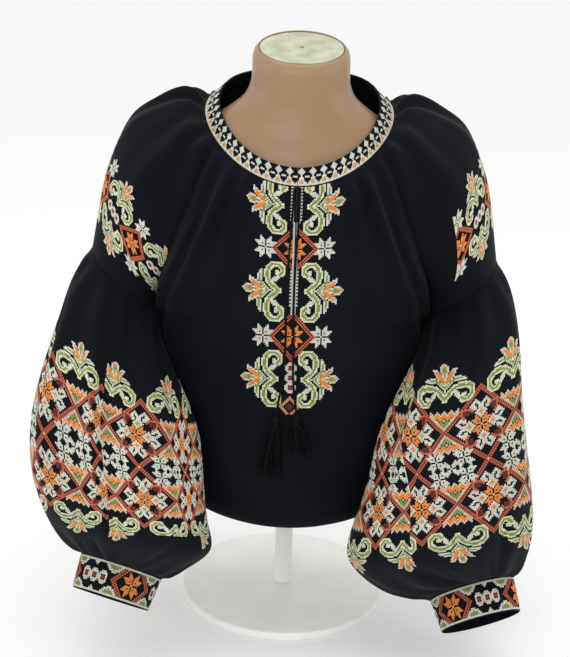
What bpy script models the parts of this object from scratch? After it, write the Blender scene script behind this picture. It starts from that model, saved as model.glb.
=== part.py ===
"""Embroidered peasant shirt (vyshyvanka) on a limbless dress form with a pole and a round foot.

Metres, +Z up. X runs across the shirt, and the front faces -Y. The origin is the centre of the
foot's underside. Tables hold millimetres. "right" and "left" are the wearer's own sides, so the
right sleeve lies at -X. Every cloth piece is a wall: a grid of outer points worked out from
sections, the same points moved in by the cloth's thickness, and a rim round every cut edge.
"""
import math

import bmesh
import bpy
import numpy as np

MM = 0.001
MIRROR = np.array([-1.0, 1.0, 1.0])

# Cloth
CLOTH_WALL = 1.8          # shirt cloth with its seam allowance
BAND_WALL = 2.4           # doubled cloth of the neck band and the cuffs
SEAM_GAP = 0.3            # clear space between pieces at a seam
UNDERARM_GAP = 1.6        # wider space where four pieces meet under the arm
UPPER_UNDERARM_SHARE = 0.4   # share of that space taken from the upper sleeve's corner

# Neckline: the line where the gathered cloth meets the neck band
NECK_HALF_WIDTH = 107.0
NECK_HALF_DEPTH = 88.0
NECK_CENTRE_Y = -12.0
NECK_BACK_Z = 633.0
NECK_FRONT_DROP = 88.0
NECK_DROP_POWER = 2.2
NECK_BAND_WIDTH = 20.0
RAGLAN_ANGLE = 58.0       # neckline angle from the centre front, and from the centre back, to a raglan seam
SLIT_HALF_GAP = 1.5
SLIT_END_Z = 418.0

# Armhole: the dropped seam between the upper and the lower sleeve is this tilted ring
DROPPED_CENTRE = (196.0, -15.0, 418.5)
DROPPED_HALF_WIDTH = 51.0
DROPPED_HALF_DEPTH = 64.0
DROPPED_LEAN = 38.0

# Upper sleeve: from the neckline over the shoulder to the dropped seam. The apex is the outermost
# point of a section, the middle lies between its two raglan ends, and open_angle is how far the
# arch goes round on each side of the apex.
UPPER_SECTIONS = (
    # apex_x, apex_y, apex_z, middle_x, middle_y, middle_z, half_depth, back_rise, open_angle
    (131.0, 6.0, 620.0, 105.0, -7.0, 580.0, 70.0, 20.0, 75.0),
    (160.0, 4.0, 614.0, 119.0, -6.0, 545.0, 80.0, 24.0, 85.0),
    (192.0, 0.0, 597.0, 133.0, -6.0, 507.0, 84.0, 22.0, 98.0),
    (214.0, -6.0, 556.0, 144.0, -8.0, 462.0, 78.0, 14.0, 114.0),
    (226.0, -11.0, 508.0, 152.0, -12.0, 420.0, 70.0, 6.0, 138.0),
)

# Front and back above the underarm: the middle of each section. Its ends are the raglan seam.
FRONT_UPPER_ROWS = (
    # middle_y, middle_z, open_angle
    (-107.0, 519.0, 64.0),
    (-115.0, 488.0, 70.0),
    (-124.0, 456.0, 76.0),
    (-130.0, 427.0, 81.0),
    (-132.0, 404.0, 86.0),
    (-132.0, 386.0, 90.0),
)
BACK_UPPER_ROWS = (
    # middle_y, middle_z, open_angle
    (84.0, 604.0, 64.0),
    (92.0, 570.0, 70.0),
    (97.0, 528.0, 76.0),
    (99.0, 480.0, 81.0),
    (98.0, 430.0, 86.0),
    (96.0, 394.0, 90.0),
)

# Body below the underarm, shared by front and back. The last rows roll under to the hem.
BODY_ROWS = (
    # z, half_width, front_y, back_y
    (350.0, 157.0, -130.0, 94.0),
    (305.0, 152.0, -127.0, 92.0),
    (255.0, 148.0, -126.0, 92.0),
    (200.0, 146.0, -126.0, 94.0),
    (165.0, 144.0, -124.0, 93.0),
    (145.0, 137.0, -117.0, 87.0),
    (137.0, 126.0, -106.0, 77.0),
)
SIDE_SEAM_Y = -15.0
HEM_SIDE_RISE = 13.0      # the hem hangs this much higher at the side seams than at the centre

# Lower sleeves. lean lifts the outer side of a section, nod lifts its front.
RIGHT_LOWER_SECTIONS = (
    # out, y, z, half_width, half_depth, lean, nod
    (205.0, -40.0, 388.0, 57.0, 66.0, 30.0, 4.0),
    (203.0, -76.0, 350.0, 69.0, 70.0, 24.0, 6.0),
    (197.0, -106.0, 300.0, 88.0, 75.0, 20.0, 8.0),
    (195.0, -127.0, 245.0, 100.0, 77.0, 18.0, 10.0),
    (189.0, -139.0, 190.0, 104.0, 79.0, 17.0, 14.0),
    (181.0, -141.0, 147.0, 98.0, 75.0, 14.0, 20.0),
    (188.0, -137.0, 114.0, 72.0, 60.0, 15.0, 28.0),
    (190.0, -130.0, 92.0, 49.0, 41.0, 18.0, 34.0),
)
LEFT_LOWER_SECTIONS = (
    # out, y, z, half_width, half_depth, lean, nod
    (202.0, -40.0, 390.0, 56.0, 66.0, 31.0, 4.0),
    (198.0, -76.0, 352.0, 65.0, 70.0, 24.0, 6.0),
    (188.0, -106.0, 300.0, 77.0, 75.0, 19.0, 8.0),
    (183.0, -127.0, 243.0, 89.0, 77.0, 17.0, 10.0),
    (178.0, -139.0, 190.0, 102.0, 79.0, 14.0, 14.0),
    (179.0, -141.0, 140.0, 106.0, 77.0, 12.0, 20.0),
    (197.0, -137.0, 99.0, 82.0, 62.0, 14.0, 28.0),
    (222.0, -132.0, 79.0, 50.0, 33.0, 19.0, 44.0),
)
CUFF_HEIGHT = 39.0
CUFF_TAPER = 0.93
SLEEVE_BODY_CLEARANCE = 8.0

# Gathers, worked out round the neckline, the dropped seam and the cuff
NECK_GATHER_STEP = 11.0   # degrees of the neckline from one gather to the next
NECK_GATHER_START = 24.0  # the embroidered middle of the front lies flat
NECK_GATHER_HEIGHT = 6.5
NECK_GATHER_REACH = 120.0
SEAM_GATHERS = 12
SEAM_GATHER_HEIGHT = 3.4
CUFF_GATHERS = 11
CUFF_GATHER_HEIGHT = 3.6

# Soft folds in the front below the gathers
FRONT_FOLDS = (
    # across (0 middle, 1 seam), start_z, end_z, width, height
    (0.44, 520.0, 330.0, 0.075, 4.0),
    (0.62, 545.0, 300.0, 0.070, 6.5),
    (0.80, 520.0, 330.0, 0.065, 7.0),
)
BACK_FOLDS = (
    # across (0 middle, 1 seam), start_z, end_z, width, height
    (0.12, 560.0, 260.0, 0.080, 5.0),
    (0.34, 590.0, 300.0, 0.075, 6.0),
    (0.56, 570.0, 220.0, 0.075, 6.0),
    (0.80, 520.0, 200.0, 0.065, 6.0),
)
UPPER_FOLDS = (
    # across (-1 front seam, 1 back seam), start (0 neck, 1 dropped seam), end, width, height
    (-0.62, 0.06, 0.66, 0.10, 5.5),
    (-0.30, 0.04, 0.52, 0.11, 5.0),
    (0.12, 0.05, 0.46, 0.12, 4.0),
    (0.50, 0.06, 0.62, 0.11, 5.0),
)
SLEEVE_FOLDS = (
    # angle (0 outer, -90 front), start (0 seam, 1 cuff), end, width in degrees, height
    (-128.0, 0.02, 0.62, 13.0, 6.0),
    (-78.0, 0.00, 0.55, 12.0, 5.0),
    (-35.0, 0.05, 0.70, 14.0, 5.0),
    (28.0, 0.00, 0.60, 14.0, 5.5),
    (85.0, 0.02, 0.66, 13.0, 5.0),
    (130.0, 0.05, 0.60, 13.0, 4.5),
)

# Grid sizes
UPPER_GRID_ROWS = 10
FRONT_COLUMNS = 19
BACK_COLUMNS = 17
BODY_GRID_ROWS = 7
UPPER_COLUMNS = 25
LOWER_COLUMNS = 36
LOWER_GRID_ROWS = 11
BAND_COLUMNS = 46
CUFF_COLUMNS = 24

# Tie cords and tassels
CORD_DIAMETER = 2.4
CORD_STANDOFF = 0.7       # clear space between a cord and the cloth behind it
CORD_POINTS = 34
RIGHT_CORD_ROUTE = (
    # z, x
    (544.0, -3.2), (515.0, -4.2), (470.0, -6.5), (420.0, -7.5), (370.0, -7.0), (330.0, -9.0), (289.0, -15.0),
)
LEFT_CORD_ROUTE = (
    # z, x
    (544.0, 3.2), (515.0, 3.0), (470.0, 1.2), (420.0, 0.6), (370.0, 2.2), (330.0, 3.2), (293.0, 8.0),
)
TASSEL_CELLS = 4          # strands each way across a tassel's head
TASSEL_HEAD_RADIUS = 4.6
STRAND_SHARE = 0.82       # a strand's width as a share of its cell
TASSEL_HEAD_HEIGHT = 13.0
TASSEL_PROFILE = (
    # share of the head's height from its top, share of its radius
    (0.00, 0.42), (0.18, 0.86), (0.45, 0.92), (0.62, 0.66), (0.80, 0.72), (1.00, 1.00),
)
TASSELS = (
    # name, cord_route, length, spread, sway
    ("tassel_right", "right", 62.0, 3.4, -6.0),
    ("tassel_left", "left", 40.0, 3.0, 8.0),
)
TASSEL_FLAT = 0.45        # a tassel's depth as a share of its spread
TASSEL_LIFT = 4.0         # how far the strands' tips stand off the line of the head

# Dress form, pole and foot
FORM_RINGS = (
    # z, half_width, front_y, back_y, tilt (front lower), roundness (2 oval, less is more pointed)
    (681.0, 48.3, -61.0, 37.0, 16.0, 2.0),
    (684.0, 48.3, -61.0, 37.0, 16.0, 2.0),
    (684.0, 50.0, -63.0, 39.0, 16.0, 2.0),
    (680.5, 53.2, -66.0, 42.0, 15.5, 2.0),
    (674.0, 54.8, -67.5, 44.0, 14.0, 2.0),
    (661.0, 55.0, -67.0, 45.0, 11.0, 2.0),
    (645.0, 56.5, -65.0, 49.0, 8.0, 2.0),
    (630.0, 64.0, -64.0, 59.0, 4.0, 2.0),
    (618.0, 79.0, -65.0, 66.0, 2.0, 1.9),
    (606.0, 99.0, -67.0, 70.0, 1.0, 1.7),
    (592.0, 129.0, -71.0, 73.0, 0.0, 1.6),
    (576.0, 158.0, -79.0, 76.0, 0.0, 1.6),
    (552.0, 175.0, -87.0, 78.0, 0.0, 1.7),
    (520.0, 177.0, -96.0, 82.0, 0.0, 1.85),
    (470.0, 166.0, -107.0, 85.0, 0.0, 2.0),
    (425.0, 148.0, -115.0, 85.0, 0.0, 2.0),
    (385.0, 137.0, -115.0, 82.0, 0.0, 2.0),
    (330.0, 124.0, -104.0, 74.0, 0.0, 2.0),
    (275.0, 116.0, -96.0, 70.0, 0.0, 2.0),
    (220.0, 124.0, -101.0, 76.0, 0.0, 2.0),
    (166.0, 124.0, -102.0, 76.0, 0.0, 2.0),
)
FORM_AXIS_Y = -14.0
FORM_COLUMNS = 32
CAP_RADIUS = 47.4
CAP_THICKNESS = 3.0
CAP_HOLE_RADIUS = 2.6
CAP_HOLE_DEPTH = 2.0
CAP_ROUNDING = 0.6
CAP_SEGMENTS = 32
POLE_RADIUS = 11.0
FOOT_RADIUS = 130.0
FOOT_THICKNESS = 9.0
FOOT_BEVEL = 3.0
POLE_SEGMENTS = 20
FOOT_SEGMENTS = 40


def clear_scene():
    """Remove what the file already holds."""
    for item in list(bpy.data.objects):
        bpy.data.objects.remove(item, do_unlink=True)


def make_material(name, colour, roughness, metallic=0.0):
    material = bpy.data.materials.new(name)
    material.use_nodes = True
    shader = material.node_tree.nodes["Principled BSDF"]
    shader.inputs["Base Color"].default_value = (*colour, 1.0)
    shader.inputs["Roughness"].default_value = roughness
    shader.inputs["Metallic"].default_value = metallic
    return material


def add_mesh(name, bm, material, smooth=True):
    """Turn a bmesh into a named object of the shirt's collection."""
    bmesh.ops.recalc_face_normals(bm, faces=bm.faces)
    mesh = bpy.data.meshes.new(name)
    bm.to_mesh(mesh)
    bm.free()
    if smooth:
        mesh.shade_smooth()
        mesh.set_sharp_from_angle(angle=math.radians(50))
    mesh.materials.append(material)
    item = bpy.data.objects.new(name, mesh)
    shirt_collection.objects.link(item)
    return item


def smooth_through(knots, values, where):
    """Smooth curve through values at uneven knots, read at the places in where."""
    knots = np.asarray(knots, float)
    values = np.asarray(values, float)
    where = np.clip(np.asarray(where, float), knots[0], knots[-1])
    steps = np.diff(knots)
    slopes = np.diff(values, axis=0) / steps.reshape((-1,) + (1,) * (values.ndim - 1))
    tangents = np.empty_like(values)
    tangents[0], tangents[-1] = slopes[0], slopes[-1]
    for i in range(1, len(knots) - 1):
        tangents[i] = (slopes[i - 1] * steps[i] + slopes[i] * steps[i - 1]) / (steps[i - 1] + steps[i])
    piece = np.clip(np.searchsorted(knots, where, side="right") - 1, 0, len(steps) - 1)
    span = steps[piece]
    t = (where - knots[piece]) / span
    shape = (-1,) + (1,) * (values.ndim - 1)
    t, span = t.reshape(shape), span.reshape(shape)
    return ((2 * t**3 - 3 * t**2 + 1) * values[piece] + (t**3 - 2 * t**2 + t) * span * tangents[piece]
            + (3 * t**2 - 2 * t**3) * values[piece + 1] + (t**3 - t**2) * span * tangents[piece + 1])


def bump(distance, width):
    """Soft ridge that is 1 on its crest and fades over its width."""
    return np.exp(-(distance / width) ** 2)


def fade(value, start, end):
    """0 at start, 1 at end, smooth between them."""
    t = np.clip((value - start) / (end - start), 0.0, 1.0)
    return t * t * (3 - 2 * t)


# Neckline and its gathers

def neck_point(angle):
    """Point of the neckline. Angle in degrees: 0 centre front, 90 the left shoulder, 180 centre back."""
    turn = np.radians(angle)
    x = NECK_HALF_WIDTH * np.sin(turn)
    y = NECK_CENTRE_Y - NECK_HALF_DEPTH * np.cos(turn)
    z = NECK_BACK_Z - NECK_FRONT_DROP * ((1 + np.cos(turn)) / 2) ** NECK_DROP_POWER
    return np.stack([x, y, z], axis=-1)


def neck_gathers(angle, distance):
    """Height of the gathers below the neckline at an angle and a distance down the cloth."""
    angle = np.abs(np.asarray(angle, float))
    wave = 0.5 + 0.5 * np.cos(2 * np.pi * (angle - NECK_GATHER_START) / NECK_GATHER_STEP + np.pi)
    uneven = 0.72 + 0.28 * np.sin(angle * 0.21 + 0.8)
    gate = fade(angle, NECK_GATHER_START - 2, NECK_GATHER_START + 6)
    reach = NECK_GATHER_REACH * (0.7 + 0.3 * np.sin(angle * 0.37))
    start = 0.12 + 0.88 * fade(distance, 0.0, 22.0)
    return NECK_GATHER_HEIGHT * wave * uneven * gate * start * np.exp(-(distance / reach) ** 2)


# Panels as grids of outer points, millimetres, for the side at +X

def dropped_ring():
    """Centre, outward half axis and backward half axis of the dropped seam."""
    lean = math.radians(DROPPED_LEAN)
    outward = DROPPED_HALF_WIDTH * np.array([math.cos(lean), 0.0, math.sin(lean)])
    return np.array(DROPPED_CENTRE), outward, np.array([0.0, DROPPED_HALF_DEPTH, 0.0])


def upper_section(row, share):
    """One arch of the upper sleeve. share runs from -1, the front raglan seam, to 1, the back one."""
    apex_x, apex_y, apex_z, mid_x, mid_y, mid_z, half_depth, back_rise, open_angle = row
    opening = math.radians(open_angle)
    apex = np.array([apex_x, apex_y, apex_z])
    middle = np.array([mid_x, mid_y, mid_z])
    outward = (apex - middle) / (1 - math.cos(opening))
    backward = np.array([0.0, half_depth, back_rise])
    turn = (share * opening)[:, None]
    return apex - outward + outward * np.cos(turn) + backward * np.sin(turn)


def upper_sections(share):
    """All arches of the upper sleeve, from the neckline to the dropped seam."""
    centre, outward, backward = dropped_ring()
    neck = neck_point(90 + share * (90 - RAGLAN_ANGLE))
    turn = (share * math.pi)[:, None]
    last = centre + outward * np.cos(turn) + backward * np.sin(turn)
    return np.array([neck] + [upper_section(row, share) for row in UPPER_SECTIONS] + [last])


def upper_rows():
    """Places of the grid rows between the neckline, 0, and the dropped seam."""
    return np.linspace(0, len(UPPER_SECTIONS) + 1, UPPER_GRID_ROWS + 1)


def upper_sleeve_grid():
    share = np.linspace(-1, 1, UPPER_COLUMNS)
    sections = upper_sections(share)
    grid = smooth_through(np.arange(len(sections)), sections, upper_rows())
    angle = 90 + share * (90 - RAGLAN_ANGLE)
    return grid, np.broadcast_to(angle, grid.shape[:2])


def panel_columns(count, open_angle, width, start):
    """Angles across half a panel: sparse over its flat middle, closer over its gathers."""
    first = start / width
    return np.radians(open_angle) * (first + (1 - first) * np.linspace(0, 1, count) ** 0.8)


def body_grid(upper_table, face, count, start):
    """Half a panel, from its middle to its seams, as a grid of outer points.

    face is -1 for the front and 1 for the back. start is the first column's distance from the middle.
    """
    edge = upper_sections(np.array([float(face)]))[:, 0]
    spread = UNDERARM_GAP * np.array([-1.0, 0.0, -0.5])
    edge[-1] += spread
    edge[-2] += spread * 0.3
    sections = []
    neck_turn = RAGLAN_ANGLE * (start / 90.0 + (1 - start / 90.0) * np.linspace(0, 1, count) ** 0.8)
    sections.append(neck_point(neck_turn if face < 0 else 180 - neck_turn))
    for number, (mid_y, mid_z, open_angle) in enumerate(upper_table, start=1):
        end = edge[number]
        turn = panel_columns(count, open_angle, end[0], start)
        opening = math.radians(open_angle)
        share = ((np.cos(turn) - math.cos(opening)) / (1 - math.cos(opening)))[:, None]
        middle = np.array([0.0, mid_y, mid_z])
        row = end + (middle - end) * share
        row[:, 0] = end[0] * np.sin(turn) / math.sin(opening)
        sections.append(row)
    for z, half_width, front_y, back_y in BODY_ROWS:
        turn = panel_columns(count, 90.0, half_width, start)
        reach = (SIDE_SEAM_Y - front_y) if face < 0 else (back_y - SIDE_SEAM_Y)
        rise = HEM_SIDE_RISE * fade(220.0 - z, 0.0, 76.0) * np.sin(turn) ** 2
        row = np.stack([half_width * np.sin(turn), SIDE_SEAM_Y + face * reach * np.cos(turn), z + rise], axis=-1)
        sections.append(row)
    last = len(upper_table)
    rows = np.concatenate([upper_rows(), np.linspace(last, len(sections) - 1, BODY_GRID_ROWS + 1)[1:]])
    sections = np.array(sections)
    grid = smooth_through(np.arange(len(sections)), sections, rows)
    grid[:UPPER_GRID_ROWS + 1, -1] = smooth_through(np.arange(last + 1), edge, upper_rows())
    side = smooth_through(np.arange(last, len(sections)), sections[last:], rows[UPPER_GRID_ROWS + 1:])
    near_side = fade(np.linspace(0, 1, count), 0.55, 0.95)[None, :, None]
    grid[UPPER_GRID_ROWS + 1:] = grid[UPPER_GRID_ROWS + 1:] * (1 - near_side) + side * near_side
    return grid, np.broadcast_to(neck_turn if face < 0 else 180 - neck_turn, grid.shape[:2])


def body_half_sizes(z):
    """Half width and front reach of the body at a height, for keeping the sleeves off it."""
    table = np.array(BODY_ROWS)[::-1]
    centre, outward, _ = dropped_ring()
    top = (centre - outward)[2], (centre - outward)[0], FRONT_UPPER_ROWS[-1][0]
    heights = np.append(table[:, 0], top[0])
    return (np.interp(z, heights, np.append(table[:, 1], top[1])),
            np.interp(z, heights, SIDE_SEAM_Y - np.append(table[:, 2], top[2])))


def keep_off_body(points):
    """Push sleeve points that would touch the body out to its surface, so the sleeve lies against it."""
    half_width, reach = body_half_sizes(points[..., 2])
    centre, outward, _ = dropped_ring()
    below = (centre - outward)[2] - points[..., 2]
    room = SLEEVE_BODY_CLEARANCE * fade(below, -10.0, 40.0) + CLOTH_WALL * 0.2
    y = points[..., 1] - SIDE_SEAM_Y
    inside = np.sqrt((points[..., 0] / (half_width + room)) ** 2 + (y / (reach + room)) ** 2)
    soft = np.where(below > -10.0, np.maximum(inside, 1e-6), 1.0)
    target = 1.0 + 0.04 * np.log1p(np.exp((soft - 1.0) / 0.04))
    push = np.where(below > -10.0, np.maximum(target / soft, 1.0), 1.0)
    push = 1.0 + (push - 1.0) * fade(below, 0.0, 22.0)
    moved = points.copy()
    moved[..., 0] = points[..., 0] * push
    moved[..., 1] = SIDE_SEAM_Y + y * push
    return moved


def lower_sections(table, columns):
    """Rings of a lower sleeve from the dropped seam to the cuff, columns from the underarm round."""
    turn = np.linspace(-np.pi, np.pi, columns, endpoint=False)[:, None]
    centre, outward, backward = dropped_ring()
    rings = [centre + outward * np.cos(turn) + backward * np.sin(turn)]
    for out, y, z, half_width, half_depth, lean, nod in table:
        lean, nod = math.radians(lean), math.radians(nod)
        side = half_width * np.array([math.cos(lean), 0.0, math.sin(lean)])
        back = half_depth * np.array([0.0, math.cos(nod), -math.sin(nod)])
        rings.append(np.array([out, y, z]) + side * np.cos(turn) + back * np.sin(turn))
    return np.array(rings), np.degrees(turn[:, 0])


def lower_sleeve_grid(table):
    rings, angle = lower_sections(table, LOWER_COLUMNS)
    places = np.linspace(0, len(rings) - 1, LOWER_GRID_ROWS + 1)
    grid = keep_off_body(smooth_through(np.arange(len(rings)), rings, places))
    along = np.broadcast_to((places / places[-1])[:, None], grid.shape[:2])
    return grid, np.broadcast_to(angle, grid.shape[:2]), along


# Folds, as heights above the plain surface

def distance_down(grid):
    """Distance of each grid point from its column's first point, along the cloth."""
    steps = np.linalg.norm(np.diff(grid, axis=0), axis=-1)
    return np.concatenate([np.zeros((1, grid.shape[1])), np.cumsum(steps, axis=0)])


def panel_folds(grid, table):
    """Soft folds of the front or the back below its gathers."""
    height = np.zeros(grid.shape[:2])
    across = np.linspace(0, 1, grid.shape[1])
    z = grid[..., 2]
    for place, start_z, end_z, width, size in table:
        length = fade(z, end_z, end_z + 0.45 * (start_z - end_z)) * fade(-z, -start_z - 20, -start_z + 40)
        height += size * bump(across - place, width) * length
    return height * fade(1.0 - across, 0.0, 0.06)


def upper_folds(grid):
    """Soft folds that run from the neckline over the shoulder."""
    across = np.linspace(-1, 1, grid.shape[1])[None, :]
    along = np.linspace(0, 1, grid.shape[0])[:, None]
    height = np.zeros(grid.shape[:2])
    for place, start, end, width, size in UPPER_FOLDS:
        length = fade(along, start, start + 0.15) * fade(1 - along, 1 - end, 1 - end + 0.3)
        height += size * bump(across - place, width) * length
    return height


def sleeve_folds(angle, along):
    """Gathers at the dropped seam and above the cuff, and the long folds between them."""
    height = np.zeros(angle.shape)
    for place, start, end, width, size in SLEEVE_FOLDS:
        gap = (angle - place + 180.0) % 360.0 - 180.0
        length = fade(along, start - 0.02, start + 0.12) * fade(1 - along, 1 - end, 1 - end + 0.25)
        height += size * bump(gap, width) * length
    seam_wave = 0.5 - 0.5 * np.cos(np.radians(angle) * SEAM_GATHERS)
    cuff_wave = 0.5 - 0.5 * np.cos(np.radians(angle) * CUFF_GATHERS + 0.6)
    under = fade(180.0 - np.abs(angle), 8.0, 40.0)
    height += SEAM_GATHER_HEIGHT * seam_wave * np.exp(-(along / 0.22) ** 2) * under
    height += CUFF_GATHER_HEIGHT * cuff_wave * fade(along, 0.70, 0.92)
    return height * fade(along, 0.0, 0.07) * fade(1 - along, 0.0, 0.05)


def grid_normals(grid, facing=1.0, wrap=False):
    """Unit normals of a grid. facing turns them out of the cloth."""
    if wrap:
        across = np.roll(grid, -1, axis=1) - np.roll(grid, 1, axis=1)
    else:
        across = np.gradient(grid, axis=1)
    down = np.gradient(grid, axis=0)
    normal = np.cross(down, across) * facing
    length = np.linalg.norm(normal, axis=-1, keepdims=True)
    return normal / np.maximum(length, 1e-9)


def match_rings(normals, ring_angles, other, other_angles):
    """Average the normals of a sleeve's end ring with those of the ring that it is sewn to."""
    around = np.concatenate([other_angles - 360.0, other_angles, other_angles + 360.0])
    tripled = np.concatenate([other, other, other])
    met = np.stack([np.interp(ring_angles, around, tripled[:, axis]) for axis in range(3)], axis=-1)
    both = normals + met
    return both / np.linalg.norm(both, axis=-1, keepdims=True)


def share_normals(first, second):
    """Give two touching edges the same normals, so that neither wall leans into the other."""
    both = first + second
    both /= np.maximum(np.linalg.norm(both, axis=-1, keepdims=True), 1e-9)
    first[...] = both
    second[...] = both


def pull_in(grid, rows=(), columns=(), gap=SEAM_GAP):
    """Move edge rows and columns towards the inside of their panel, which opens the seam gap."""
    for edge, inner in rows:
        step = grid[inner] - grid[edge]
        grid[edge] += step / np.linalg.norm(step, axis=-1, keepdims=True) * gap
    for edge, inner in columns:
        step = grid[:, inner] - grid[:, edge]
        grid[:, edge] += step / np.linalg.norm(step, axis=-1, keepdims=True) * gap


def shorter_halves(points, a, b, c, d):
    """The two triangles of a cell, cut along its shorter diagonal."""
    if np.linalg.norm(points[a] - points[c]) <= np.linalg.norm(points[b] - points[d]):
        return (a, b, c), (a, c, d)
    return (a, b, d), (b, c, d)


def add_wall(name, outer, normals, thickness, material, wrap=False, keep=None, side=1.0):
    """Closed wall of a grid: outer points, inner points and a rim round every free edge."""
    rows, columns = outer.shape[:2]
    inner = outer - normals * thickness
    mirror = np.array([side, 1.0, 1.0])
    bm = bmesh.new()
    layers = []
    for points in (outer, inner):
        layers.append([[None] * columns for _ in range(rows)])
        for r in range(rows):
            for c in range(columns):
                layers[-1][r][c] = tuple(points[r, c] * mirror * MM)
    cells = []
    for r in range(rows - 1):
        for c in range(columns if wrap else columns - 1):
            if keep is None or keep[r, c]:
                after = (c + 1) % columns
                cells.append(((r, c), (r + 1, c), (r + 1, after), (r, after)))
    made = [{}, {}]

    def vertex(layer, place):
        if place not in made[layer]:
            made[layer][place] = bm.verts.new(layers[layer][place[0]][place[1]])
        return made[layer][place]

    directed = {(cell[i], cell[(i + 1) % 4]) for cell in cells for i in range(4)}
    for a, b, c, d in cells:
        for corners in shorter_halves(outer, a, b, c, d):
            bm.faces.new([vertex(0, place) for place in corners])
            bm.faces.new([vertex(1, place) for place in reversed(corners)])
    for start, end in sorted(directed):
        if (end, start) not in directed:
            bm.faces.new([vertex(0, end), vertex(0, start), vertex(1, start), vertex(1, end)])
    return add_mesh(name, bm, material)


# The cloth pieces

def mirrored(half, flip):
    """Whole panel from its half at +X: columns run from the -X seam to the +X seam."""
    return np.concatenate([half[:, ::-1] * flip, half], axis=1)


def share_seams(front, back, upper):
    """One set of normals along each raglan seam and each side seam."""
    above = slice(0, UPPER_GRID_ROWS)
    below = slice(UPPER_GRID_ROWS, None)
    share_normals(front[above, -1], upper[above, 0])
    share_normals(back[above, -1], upper[above, -1])
    share_normals(front[below, -1], back[below, -1])
    for normals in (front, back):
        normals[:, 0] = normals[:, -1] * MIRROR


def make_shirt(cloth, embroidered):
    front_half, front_angle = body_grid(FRONT_UPPER_ROWS, -1, FRONT_COLUMNS, SLIT_HALF_GAP)
    back_half, back_angle = body_grid(BACK_UPPER_ROWS, 1, BACK_COLUMNS, 0.0)
    upper, upper_angle = upper_sleeve_grid()
    front = mirrored(front_half, MIRROR)
    back = np.delete(mirrored(back_half, MIRROR), BACK_COLUMNS, axis=1)
    front_lift = neck_gathers(front_angle, distance_down(front_half)) + panel_folds(front_half, FRONT_FOLDS)
    back_lift = neck_gathers(back_angle, distance_down(back_half)) + panel_folds(back_half, BACK_FOLDS)
    upper_lift = neck_gathers(upper_angle, distance_down(upper)) + upper_folds(upper)
    front_lift = mirrored(front_lift, 1.0)[..., None]
    back_lift = np.delete(mirrored(back_lift, 1.0), BACK_COLUMNS, axis=1)[..., None]
    plain = grid_normals(front, 1.0), grid_normals(back, -1.0), grid_normals(upper, 1.0)
    share_seams(*plain)
    front = front + plain[0] * front_lift
    back = back + plain[1] * back_lift
    upper = upper + plain[2] * upper_lift[..., None]
    front_normals, back_normals = grid_normals(front, 1.0), grid_normals(back, -1.0)
    upper_normals = grid_normals(upper, 1.0)
    share_seams(front_normals, back_normals, upper_normals)

    for grid in (front, back):
        pull_in(grid, rows=((0, 1),), columns=((0, 1), (-1, -2)))
    underarm = UPPER_GRID_ROWS
    pull_in(upper, rows=((0, 1), (-1, -2)), columns=((0, 1), (-1, -2)))
    for edge, inner in ((0, 1), (-1, -2)):
        step = upper[-1, inner] - upper[-1, edge]
        upper[-1, edge] += step / np.linalg.norm(step) * UNDERARM_GAP * UPPER_UNDERARM_SHARE
        for grid in (front, back):
            step = grid[underarm, inner] - grid[underarm, edge]
            grid[underarm, edge] += step / np.linalg.norm(step) * UNDERARM_GAP

    keep = np.ones((front.shape[0] - 1, front.shape[1] - 1), bool)
    middle = FRONT_COLUMNS - 1
    for row in range(front.shape[0] - 1):
        if front[row + 1, middle, 2] > SLIT_END_Z - 8.0:
            keep[row, middle] = False
    add_wall("front", front, front_normals, CLOTH_WALL, embroidered, keep=keep)
    add_wall("back", back, back_normals, CLOTH_WALL, cloth)

    for word, side, table in (("right", -1.0, RIGHT_LOWER_SECTIONS), ("left", 1.0, LEFT_LOWER_SECTIONS)):
        lower, angle, along = lower_sleeve_grid(table)
        lift = sleeve_folds(angle, along)
        lower = lower + grid_normals(lower, wrap=True) * lift[..., None]
        lower_normals = grid_normals(lower, wrap=True)
        cuff, cuff_normals = cuff_grid(table)
        upper_angles = np.linspace(-180.0, 180.0, UPPER_COLUMNS)
        cuff_angles = np.linspace(-180.0, 180.0, CUFF_COLUMNS, endpoint=False)
        first_row, last_row, upper_row = lower_normals[0], lower_normals[-1], upper_normals[-1]
        lower_normals[0] = match_rings(first_row, angle[0], upper_row[:-1], upper_angles[:-1])
        upper_matched = upper_normals.copy()
        upper_matched[-1] = match_rings(upper_row, upper_angles, first_row, angle[0])
        lower_normals[-1] = match_rings(last_row, angle[0], cuff_normals[0], cuff_angles)
        cuff_normals[0] = match_rings(cuff_normals[0], cuff_angles, last_row, angle[0])
        pull_in(lower, rows=((0, 1), (-1, -2)))
        add_wall("upper_sleeve_" + word, upper, upper_matched, CLOTH_WALL, embroidered, side=side)
        add_wall("lower_sleeve_" + word, lower, lower_normals, CLOTH_WALL, embroidered, wrap=True, side=side)
        add_wall("cuff_" + word, cuff, cuff_normals, BAND_WALL, embroidered, wrap=True, side=side)


def cuff_grid(table):
    """A cuff goes on from the lower sleeve's last ring, straight along the sleeve's axis."""
    out, y, z, half_width, half_depth, lean, nod = table[-1]
    lean, nod = math.radians(lean), math.radians(nod)
    side = np.array([math.cos(lean), 0.0, math.sin(lean)])
    back = np.array([0.0, math.cos(nod), -math.sin(nod)])
    axis = np.cross(side, back)
    axis /= -np.linalg.norm(axis)
    turn = np.linspace(-np.pi, np.pi, CUFF_COLUMNS, endpoint=False)[:, None]
    rows = []
    for share in (0.0, 0.5, 1.0):
        size = 1 + (CUFF_TAPER - 1) * share
        centre = np.array([out, y, z]) + axis * (SEAM_GAP + share * CUFF_HEIGHT)
        rows.append(centre + (side * half_width * np.cos(turn) + back * half_depth * np.sin(turn)) * size)
    grid = np.array(rows)
    return grid, grid_normals(grid, wrap=True)


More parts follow.
